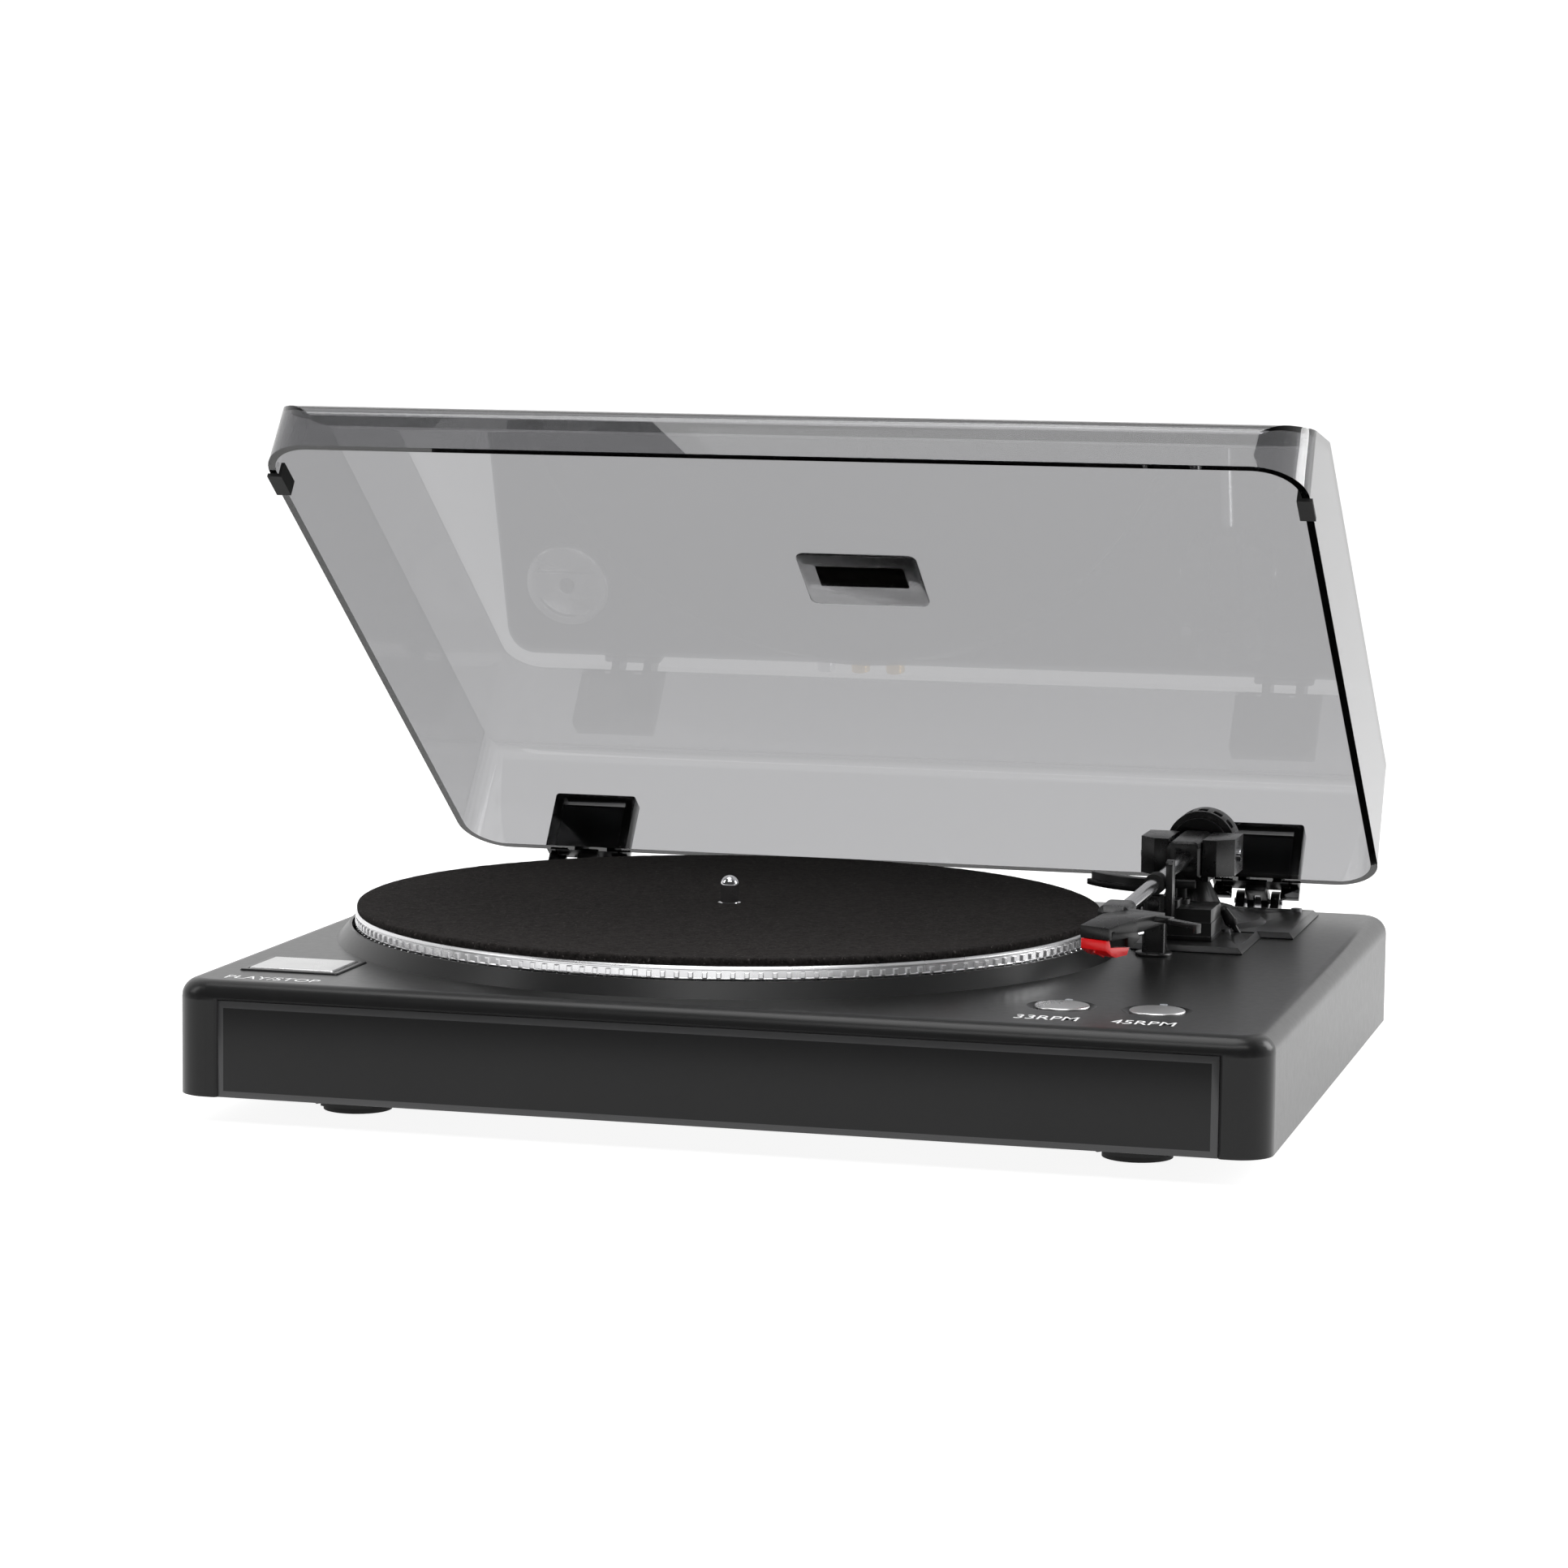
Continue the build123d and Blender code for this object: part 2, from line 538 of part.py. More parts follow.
# ---- tonearm base on the deck ----
ring_clear = post(ring_base_r + 1.5, deck_z - 1, deck_z + 60, platter_x, platter_y)
plateau_right = 164.0
plateau_wide = 177.0
plateau_step = 240.0
plateau_front = 192.0
plateau_rear = 312.0
plateau = prism_z([(120, plateau_front), (plateau_right, plateau_front), (plateau_right, plateau_step),
                   (plateau_wide, plateau_step), (plateau_wide, plateau_rear), (100, plateau_rear),
                   (106, 250), (112, 225)], deck_z, plateau_z)
plateau = chamfer(plateau.faces().sort_by(Axis.Z)[-1].edges(), 2.0)
plateau -= post(pedestal_stem_r + gap, deck_z - 1, plateau_z + 1, arm_x, arm_y)
plateau -= slab(cue_x - 4.5, cue_x + 4.5, cue_y - 1.8, cue_y + 1.8, deck_z - 1, plateau_z + 1)
plate_holes = [(150.5, 236.0), (169.0, 304.0), (107.0, 304.0)]
for x, y in plate_holes:
    plateau -= post(screw_r, deck_z - 1, plateau_z + 1, x, y)
nodes["tonearm_base"] = plateau
chassis_screws += [screw(x, y, plateau_z, plateau_h, head_r=2.3, head_t=1.2) for x, y in plate_holes]
nodes["chassis_screws"] = Compound(children=chassis_screws)

flange_r = 31.0
flange_t = 1.9
pedestal_top = plateau_z + 16.8
pedestal = taper(flange_r, flange_r - 2.5, plateau_z, plateau_z + flange_t)
pedestal += taper(24.0, 18.0, plateau_z + flange_t, plateau_z + 5.6)
pedestal += taper(18.0, 12.5, plateau_z + 5.6, plateau_z + 7.0)
pedestal += taper(12.5, 7.4, plateau_z + 7.0, pedestal_top)
pedestal += post(pedestal_stem_r, deck_z - deck_t - 14, plateau_z)
bearing_od = 5.0
pedestal -= post(bearing_od, deck_z - deck_t - 15, pedestal_top + 1)
nodes["pivot_pedestal"] = Pos(arm_x, arm_y, 0) * pedestal
nodes["yaw_bearings"] = Compound(children=[
    tube(bearing_od, yaw_shaft_r + running, z, z + 4, arm_x, arm_y)
    for z in (deck_z - deck_t - 12, pedestal_top - 5)])

# stepped housing of the arm lift
house_x0 = 128.5
house_x1 = 149.6
house_y0 = 206.0
house_y1 = 231.0
house_top = base_z + 58.3
tiers = [(0.0, plateau_z, base_z + 47.6), (0.6, base_z + 47.6, base_z + 53.0), (1.2, base_z + 53.0, house_top)]
house = None
for inset, z0, z1 in tiers:
    tier = slab(house_x0 + inset, house_x1 - inset * 0.5, house_y0 + inset, house_y1, z0, z1)
    house = tier if house is None else house + tier
house += slab(house_x0 + 1.2, house_x0 + 7.0, house_y0 + 2, house_y0 + 12.6, house_top, house_top + 3)
lift_x = 134.6
lift_y = arm_y - math.sqrt(lift_radius ** 2 - (lift_x - arm_x) ** 2)
piston_r = 2.0
sleeve_r = 3.4
house += post(sleeve_r, house_top, house_top + 1.9, lift_x, lift_y)
house -= post(piston_r + running, plateau_z - 1, house_top + 9, lift_x, lift_y)
house -= post(flange_r + 0.4, plateau_z - 1, plateau_z + flange_t + 0.4, arm_x, arm_y)
house -= post(24.4, plateau_z - 1, house_top + 9, arm_x, arm_y)
nodes["lift_housing"] = house

# lift bar, an arc under the arm's sweep, and its piston
bar_top = pivot_z - tube_r - 2.6
bar_h = 3.0
bar_w = 5.0


def arc_band(radius, width, a0, a1, z0, z1):
    """A curved bar about the pivot; angles are counted from straight ahead, towards the platter."""
    outer = Pos(arm_x, arm_y, (z0 + z1) / 2) * Cylinder(radius + width / 2, z1 - z0)
    inner = Pos(arm_x, arm_y, (z0 + z1) / 2) * Cylinder(radius - width / 2, z1 - z0 + 2)
    reach = radius * 2
    wedge = prism_z([(0, 0)] + [(-reach * math.sin(math.radians(a)), -reach * math.cos(math.radians(a)))
                                for a in (a0, (a0 + a1) / 2, a1)], z0 - 1, z1 + 1)
    return (outer - inner) & (Pos(arm_x, arm_y, 0) * wedge)


bar = arc_band(lift_radius, bar_w, -12, 52, bar_top - bar_h, bar_top)
bar += arc_band(lift_radius + 1.2, bar_w, 12, 54, bar_top - bar_h - 2.4, bar_top - bar_h)
nodes["lift_bar"] = bar + post(piston_r, plateau_z + lift_travel + 0.6, bar_top - bar_h, lift_x, lift_y)

# cue lever on its own pivot pin, under the base
cue_z = deck_z - 1.0
cue_lean = 33.0
cue_lever = taper(1.6, 2.8, 6.8, 9.2) + taper(2.8, 2.0, 9.2, 14.2) + Pos(0, 0, 14.2) * Sphere(2.0)
cue_hub = Rot(90, 0, 0) * Cylinder(2.6, 2.4)
cue_hub -= Rot(90, 0, 0) * Cylinder(1.0 + running, 5)
cue_lever += post(1.1, 2.2, 7.0) + cue_hub
nodes["cue_lever"] = Pos(cue_x, cue_y, cue_z) * Rot(0, -cue_lean, 0) * cue_lever
nodes["cue_pivot_pin"] = rod_y(1.0, cue_y - 5.5, cue_y + 5.5, cue_x, cue_z)

# arm rest: flanged post, forked head and the swing clip
rest = post(7.3, deck_z, deck_z + 1.4, arm_x, rest_y)
rest = fillet(rest.edges().sort_by(Axis.Z)[-1], 0.9)
axis_at_rest = pivot_z - (arm_y - rest_y) * math.tan(math.radians(arm_droop))
cradle_z = axis_at_rest - collar_r - 0.4
rest += rounded(arm_x - 4.5, arm_x + 4.5, rest_y - 3.5, rest_y + 3.5, deck_z + 1.4, cradle_z, 1.5)
finger = slab(arm_x + 4.5, arm_x + 7.2, rest_y - 3, rest_y + 3, cradle_z - 8, axis_at_rest + 9.5)
finger = fillet(finger.edges().filter_by(Axis.X).sort_by(Axis.Z)[-2:], 2.4)
rest += finger + rod_y(2.2, rest_y - 4.6, rest_y - 3.5, arm_x, cradle_z - 3)
nodes["arm_rest"] = rest

# ---- tonearm: yoke that turns, arm that tilts, sliding counterweight ----
half_block = [(centre_half + side_gap, -yoke_front), (yoke_half - yoke_facet, -yoke_front),
              (yoke_half, -yoke_front + yoke_facet), (yoke_half, yoke_rear), (centre_half + side_gap, yoke_rear)]
yoke = prism_z(half_block, -yoke_high, yoke_high)
yoke += mirror(yoke, about=Plane.YZ)
bridge_z = -yoke_high - 2.8
yoke += slab(-centre_half - 2, centre_half + 2, -9, yoke_rear, bridge_z, -yoke_high)
yoke += slab(-centre_half - 2, -centre_half - side_gap, -9, yoke_rear, -yoke_high - 1, -yoke_high + 1)
yoke += slab(centre_half + side_gap, centre_half + 2, -9, yoke_rear, -yoke_high - 1, -yoke_high + 1)
yoke -= rod_x(pivot_pin_r, -yoke_half - 1, yoke_half + 1, 0, 0)
yoke -= slab(-centre_half - side_gap, centre_half + side_gap, -yoke_front - 1, yoke_rear + 1, -yoke_high, 9)
shaft_low = deck_z - deck_t - 13 - pivot_z
nodes["gimbal_yoke"] = yoke_part(yoke + post(yaw_shaft_r, shaft_low, bridge_z))
pin_in = centre_half - 3.0
pins = [rod_x(pivot_pin_r, s * (pin_in + yoke_half + 0.6) / 2 - (yoke_half + 0.6 - pin_in) / 2,
              s * (pin_in + yoke_half + 0.6) / 2 + (yoke_half + 0.6 - pin_in) / 2, 0, 0) for s in (-1, 1)]
pins = [pin + rod_x(2.6, s * (yoke_half + 0.6) - 0.6, s * (yoke_half + 0.6) + 0.6, 0, 0)
        for s, pin in zip((-1, 1), pins)]
nodes["gimbal_pivots"] = yoke_part(Compound(children=pins))

centre_front = yoke_front + 4.5
centre = slab(-centre_half, centre_half, -centre_front, yoke_rear + 1, -yoke_high + 0.4, yoke_high)
centre = fillet(centre.edges().filter_by(Axis.Y).sort_by(Axis.Z)[-2:], 3.2)
centre = chamfer(centre.faces().sort_by(Axis.Y)[0].edges(), 0.9)
centre -= rod_x(pivot_pin_r + running, -centre_half - 1, -pin_in + 0.3, 0, 0)
centre -= rod_x(pivot_pin_r + running, pin_in - 0.3, centre_half + 1, 0, 0)
centre -= rod_y(tube_r, -centre_front - 1, -6, 0, 0)
centre -= prism_x([(0, -8), (0, -6.9), (yoke_rear + 2, -3.6), (yoke_rear + 2, -8)], -9, 9)
bore_r = 1.8
arm_tube = rod_y(tube_r, -tube_end, -6, 0, 0) - rod_y(bore_r, -tube_end - 1, -5, 0, 0)
nodes["arm_tube"] = arm_part(arm_tube)
collar_y = rest_y - arm_y
nodes["rest_collar"] = arm_part(rod_y(collar_r, collar_y - 4, collar_y + 4, 0, 0)
                                - rod_y(tube_r, collar_y - 5, collar_y + 5, 0, 0))
stub_end = weight_start + weight_len + 6
nodes["arm_block"] = arm_part(centre + rod_y(stub_r, 7, stub_end, 0, 0))

sleeve_fit = stub_r + running
bush_r = 6.5
nodes["weight_bush"] = arm_part(rod_y(bush_r, weight_start + 1, weight_start + weight_len - 1, 0, 0)
                                - rod_y(sleeve_fit, weight_start, weight_start + weight_len, 0, 0))
weight = rod_y(weight_r, weight_start + 3.5, weight_start + weight_len, 0, 0)
weight = fillet(weight.edges().sort_by(Axis.Y)[-1], 1.5)
notch_count = 14
for turn in range(notch_count):
    notch = slab(-2, 2, weight_start + 5.5, weight_start + 11, weight_r - 1.0, weight_r + 1)
    weight -= Rot(0, 360 / notch_count * turn, 0) * notch
weight -= rod_y(bush_r + running, weight_start, weight_start + weight_len + 1, 0, 0)
nodes["counterweight"] = arm_part(weight)
nodes["weight_dial"] = arm_part(rod_y(weight_r - 2.4, weight_start + 0.2, weight_start + 3.5, 0, 0)
                                - rod_y(bush_r + running, weight_start - 1, weight_start + 5, 0, 0))

# headshell: x across, y from the nose rearwards, z from the arm's axis
shell_half = 8.0
shell_nose_half = 6.4
shell_len = 33.0
top_nose = 1.2
top_rear = 3.2
deep = 1.6
side_view = prism_x([(0, top_nose), (16, top_rear), (shell_len, top_rear), (shell_len, top_rear - deep),
                     (16, top_rear - deep), (1.5, top_nose - deep), (1.5, top_nose - 4.5),
                     (0, top_nose - 4.5)], -shell_half, shell_half)
plan = prism_z([(-shell_nose_half, 0), (shell_nose_half, 0), (shell_half, 15), (shell_half, shell_len),
                (-shell_half, shell_len), (-shell_half, 15)], -10, 10)
head = side_view & plan
for side in (-1, 1):
    cheek = prism_x([(3, top_nose - deep - 0.6), (16, top_rear - 5.2), (shell_len, top_rear - 4.0),
                     (shell_len, top_rear), (16, top_rear), (3, top_nose)],
                    side * (shell_half - 0.7) - 0.7, side * (shell_half - 0.7) + 0.7)
    head += cheek & plan
head += slab(shell_half - 0.5, shell_half + 6, shell_len - 6.5, shell_len - 2.5, top_rear - 2.6, top_rear - 0.6)
head += prism_z([(shell_half + 5, shell_len - 6.5), (shell_half + 5, shell_len - 2.5),
                 (shell_half + 20, shell_len - 5.5), (shell_half + 20, shell_len - 8.5)],
                top_rear - 2.8, top_rear - 1.2)
head += slab(shell_half + 18.4, shell_half + 20, shell_len - 8.4, shell_len - 5.6, top_rear - 4.6, top_rear - 2.0)
neck_front = -tube_end - 12.0
neck = slab(-6.2, 5.6, neck_front, -tube_end + 5, -3.4, 4.6)
neck = fillet(neck.edges().filter_by(Axis.Y).sort_by(Axis.Z)[-2:], 2.6)
neck = chamfer(neck.faces().sort_by(Axis.Y)[0].edges().sort_by(Axis.Z)[-1], 2.2)
neck -= rod_y(tube_r, -tube_end, -tube_end + 6, 0, 0)
nodes["headshell"] = shell_part(head) + arm_part(neck)

cart_top = top_nose - deep - 0.05
cart_half = 6.4
cartridge = prism_x([(2.2, cart_top), (13, cart_top + 1.4), (17.5, cart_top + 1.4), (19.5, cart_top - 4.5),
                     (15.0, cart_top - 7.0), (2.6, cart_top - 5.8), (1.8, cart_top - 3)], -cart_half, cart_half)
cartridge -= slab(-cart_half - 1, -cart_half + 1.6, 0, 12, cart_top - 9, cart_top - 3.4)
cartridge -= slab(cart_half - 1.6, cart_half + 1, 0, 12, cart_top - 9, cart_top - 3.4)
nodes["cartridge_body"] = shell_part(cartridge)
pin_spots = [(x, z) for x in (-3.6, 3.6) for z in (cart_top - 3.2, cart_top - 0.6)]
nodes["cartridge_pins"] = shell_part(Compound(children=[
    rod_y(0.6, 17.6, 22.6, x, z) + rod_y(1.0, 20.2, 24.6, x, z) for x, z in pin_spots]))
stylus_top = cart_top - 5.9
stylus = prism_x([(-0.6, stylus_top + 2.8), (1.6, stylus_top + 2.8), (2.4, stylus_top),
                  (14.2, stylus_top - 1.2), (12.6, stylus_top - 3.9), (5.5, stylus_top - 4.0),
                  (3.0, stylus_top - 3.0), (-0.6, stylus_top - 0.8)], -cart_half + 0.8, cart_half - 0.8)
stylus += Pos(0, 3.0, stylus_top - 2.9) * Rot(65, 0, 0) * Cylinder(0.5, 6.0)
nodes["stylus_holder"] = shell_part(stylus)

# arm clip, hinged beside the rest, stored hanging open
clip_x = -6.4
clip_z = -6.6
clip_open = 176.0
clip_ring = Rot(90, 0, 0) * (Cylinder(6.0, 3) - Cylinder(4.8, 5))
clip_ring &= slab(-9, 4.1, -2, 2, -1.0, 9) + slab(-9, 0, -2, 2, -4.0, 9)
clip_hub_r = 1.5
clip_arm = clip_ring + slab(-7.4, -5.0, -clip_hub_r, clip_hub_r, clip_z, -1.0)
clip_arm += rod_y(clip_hub_r, -clip_hub_r, clip_hub_r, clip_x, clip_z)
clip_arm -= rod_y(0.9 + running, -3, 3, clip_x, clip_z)
hinge_in_clip = Pos(clip_x, 0, clip_z)
clip = hinge_in_clip * Rot(0, -clip_open, 0) * hinge_in_clip.inverse() * clip_arm
at_rest = Pos(arm_x, rest_y, axis_at_rest)
nodes["rest_clip"] = at_rest * clip
ear = slab(clip_x - 1.8, -4.4, 1.9, 3.4, clip_z - 2.4, clip_z + 1.8)
ears = ear + mirror(ear, about=Plane.XZ)
ears += rod_y(0.9, -3.4, 3.4, clip_x, clip_z)
nodes["arm_rest"] += at_rest * ears

# ---- cover hinges ----
hinge_parts = {"hinge_bases": [], "hinge_pins": [], "hinge_leaves": [], "hinge_sockets": [], "hinge_springs": []}
for sign in (-1, 1):
    at_hinge = Pos(sign * hinge_x, 0, 0)
    base = slab(-13, 13, plinth_d, plinth_d + 3, base_z + 8, deck_z - 5)
    base = fillet(base.edges().filter_by(Axis.Y), 2)
    for x0 in (-9.2, 5.6):
        ear = rod_x(knuckle_r, x0, x0 + 3.6, hinge_y, hinge_z)
        ear += prism_x([(plinth_d + 2.5, base_z + 20), (plinth_d + 2.5, hinge_z - 5.5),
                        (hinge_y - knuckle_r, hinge_z), (hinge_y + knuckle_r, hinge_z)], x0, x0 + 3.6)
        base += ear
    base -= rod_x(hinge_pin_r, -10, 10, hinge_y, hinge_z)
    for z in (base_z + 13, deck_z - 11):
        base -= rod_y(screw_r, plinth_d - 1, plinth_d + 4, 0, z)
        nodes["plinth_shell"] -= at_hinge * rod_y(screw_r, plinth_d - wall - 1, plinth_d + 1, 0, z)
    hinge_parts["hinge_bases"].append(at_hinge * base)
    hinge_parts["hinge_pins"].append(at_hinge * rod_x(hinge_pin_r, -10.2, 10.2, hinge_y, hinge_z))
    # leaf: the block inside the socket and the arm down to the pin
    inner_half = socket_w / 2 - 4.2
    front = lid_rear + 0.9
    back = lid_rear + socket_depth - 0.3
    leaf = slab(-inner_half, inner_half, front, back, rim_z + 0.5, rim_z + socket_h - 4.0)
    leaf = chamfer(leaf.edges().filter_by(Axis.X).sort_by(Axis.Z)[-2:].sort_by(Axis.Y)[0], 2.2)
    leaf += slab(-4.4, 4.4, front + 2.5, hinge_y, hinge_z - 1.5, hinge_z + 3.4)
    leaf += rod_x(knuckle_r - 0.6, -4.4, 4.4, hinge_y, hinge_z)
    leaf -= rod_x(hinge_pin_r + running, -5, 5, hinge_y, hinge_z)
    leaf -= slab(-1.6, 1.6, hinge_y - 8, hinge_y + 9, hinge_z - 9, hinge_z + 9)
    hinge_parts["hinge_leaves"].append(opened(at_hinge * leaf))
    socket = slab(-socket_w / 2, socket_w / 2, lid_rear + 0.05, lid_rear + socket_depth,
                  rim_z + 0.4, rim_z + socket_h)
    socket = fillet(socket.edges().filter_by(Axis.Y).sort_by(Axis.Z)[-2:], 1.5)
    socket -= slab(-inner_half - gap, inner_half + gap, lid_rear - 1, lid_rear + socket_depth + 1,
                   rim_z - 1, rim_z + socket_h - 1.8)
    socket += slab(-socket_w / 2, -10.4, lid_rear + 5.8, lid_rear + socket_depth, rim_z - 4.2, rim_z + 0.4)
    socket += slab(10.4, socket_w / 2, lid_rear + 5.8, lid_rear + socket_depth, rim_z - 4.2, rim_z + 0.4)
    hinge_parts["hinge_sockets"].append(opened(at_hinge * socket))
    spring = rod_x(2.6, -1.2, 1.2, hinge_y, hinge_z) - rod_x(hinge_pin_r, -3, 3, hinge_y, hinge_z)
    hinge_parts["hinge_springs"].append(at_hinge * spring)
    for z in (base_z + 13, deck_z - 11):
        rear_screws.append(at_hinge * (rod_y(screw_r, plinth_d - wall, plinth_d + 3, 0, z)
                                       + rod_y(2.8, plinth_d + 3, plinth_d + 4.4, 0, z)))
for name, shapes in hinge_parts.items():
    nodes[name] = Compound(children=shapes)
nodes["rear_screws"] = Compound(children=rear_screws)


# ---- cover ----
def cover_form(inset, low):
    """The cover's outer form, or its hollow when inset by the wall; low is how far it goes below the rim."""
    front_y = lid_rear - lid_d
    points = [(lid_rear - inset, rim_z - low), (lid_rear - inset - rear_draft, rim_z + lid_h - inset),
              (front_y + 0.5 + lid_slope + inset * 0.45, rim_z + lid_h - inset),
              (front_y + 0.5 + inset, rim_z + lid_front_h - inset * 0.45),
              (front_y + inset, rim_z - low)]
    outline = Plane.YZ * make_face(Polyline(points, close=True))
    edge_r = 8.0 - inset
    outline = fillet(outline.vertices().sort_by(Axis.Z)[2:], edge_r)
    form = extrude(outline, amount=lid_w / 2, dir=(1, 0, 0), both=True)
    half = lid_w / 2 - inset
    plan = RectangleRounded(2 * half, lid_d - 2 * inset, lid_corner_r - inset)
    middle = lid_rear - lid_d / 2
    tower = Pos(0, middle, rim_z - low) * extrude(plan, amount=lid_h + 20 + low, taper=side_draft)
    return form & tower


cover = cover_form(0.0, 0.0) - cover_form(lid_wall, 5.0)
nodes["dust_cover"] = opened(cover)

bumpers = []
for sign in (-1, 1):
    x_out = sign * (lid_w / 2 + 1.0)
    x_in = sign * (lid_w / 2 - lid_wall - 2.0)
    y_mid = lid_rear - 289.0
    low = slab(min(x_in, x_out), max(x_in, x_out), y_mid - 6.5, y_mid + 6.5, rim_z - 1.5, rim_z - 0.02)
    lip = slab(min(x_in, x_in + sign * 1.4), max(x_in, x_in + sign * 1.4), y_mid - 6.5, y_mid + 6.5,
               rim_z - 1.5, rim_z + 5)
    bumpers.append(low + lip)
nodes["cover_bumpers"] = opened(Compound(children=bumpers))
badge_y = lid_rear - 155.4
badge_top = rim_z + lid_h
badge = rounded(-25, 25, badge_y - 18.8, badge_y + 18.8, badge_top, badge_top + 0.8, 4.0)
nodes["cover_badge"] = opened(badge)


def frame_middle():
    """The middle of the whole object's box in plan, and its lowest level."""
    boxes = [shape.bounding_box() for shape in nodes.values()]
    middle_x = (min(box.min.X for box in boxes) + max(box.max.X for box in boxes)) / 2
    middle_y = (min(box.min.Y for box in boxes) + max(box.max.Y for box in boxes)) / 2
    return middle_x, middle_y, min(box.min.Z for box in boxes)


datum = frame_middle()
shift = Pos(-datum[0], -datum[1], -datum[2])
os.makedirs("parts", exist_ok=True)
for name, shape in nodes.items():
    export_step(shift * shape, "parts/" + name + ".step")
print("nodes", len(nodes), "datum", datum)
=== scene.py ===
import json
import logging
import math
from dataclasses import dataclass, field
from enum import Enum
from typing import Callable, Iterable

import bmesh
import bpy
from mathutils import Matrix, Vector


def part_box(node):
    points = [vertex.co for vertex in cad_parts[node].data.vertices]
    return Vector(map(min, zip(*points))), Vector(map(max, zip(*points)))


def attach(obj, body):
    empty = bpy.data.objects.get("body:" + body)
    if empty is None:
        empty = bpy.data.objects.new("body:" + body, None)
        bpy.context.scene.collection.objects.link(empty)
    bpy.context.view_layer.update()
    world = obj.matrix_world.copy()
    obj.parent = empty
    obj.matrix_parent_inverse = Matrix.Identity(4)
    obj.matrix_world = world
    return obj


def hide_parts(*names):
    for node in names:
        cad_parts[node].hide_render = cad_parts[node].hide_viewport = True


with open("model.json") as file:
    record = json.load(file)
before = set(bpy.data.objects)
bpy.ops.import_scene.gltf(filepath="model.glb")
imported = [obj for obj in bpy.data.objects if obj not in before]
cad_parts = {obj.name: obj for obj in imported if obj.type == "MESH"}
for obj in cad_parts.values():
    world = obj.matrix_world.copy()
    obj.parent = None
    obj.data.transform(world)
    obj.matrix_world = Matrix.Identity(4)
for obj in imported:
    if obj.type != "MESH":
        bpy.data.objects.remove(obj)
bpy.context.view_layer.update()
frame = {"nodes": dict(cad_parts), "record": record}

log = logging.getLogger("turntable")
MM = 0.001

# Merging distances are in metres, FLAT_WITHIN in radians, ROUNDED_FROM and SMOOTH_UNDER in
# degrees. PRINT_SWELL is a share of a letter's height.
TURNED_MERGE = 0.000002
COPY_MERGE = 0.000005
FLAT_WITHIN = math.radians(0.8)
ROUNDED_FROM = 32.0
SMOOTH_UNDER = 40.0
PRINT_THICK = 0.00005
PRINT_SWELL = 0.003
Colour = tuple[float, float, float]
Point = tuple[float, float, float]

RECORD = frame["record"]
BODY_OF = {node: body for body, nodes in RECORD["behaviour"]["bodies"].items() for node in nodes}
SLOT_OF = {part["node"]: part["material_slot"] for part in RECORD["subparts"]}


def middle_of(node: str) -> Vector:
    """Gives the middle of a CAD node's box."""
    low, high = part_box(node)
    return (Vector(low) + Vector(high)) / 2


# ---------------------------------------------------------------- finishes


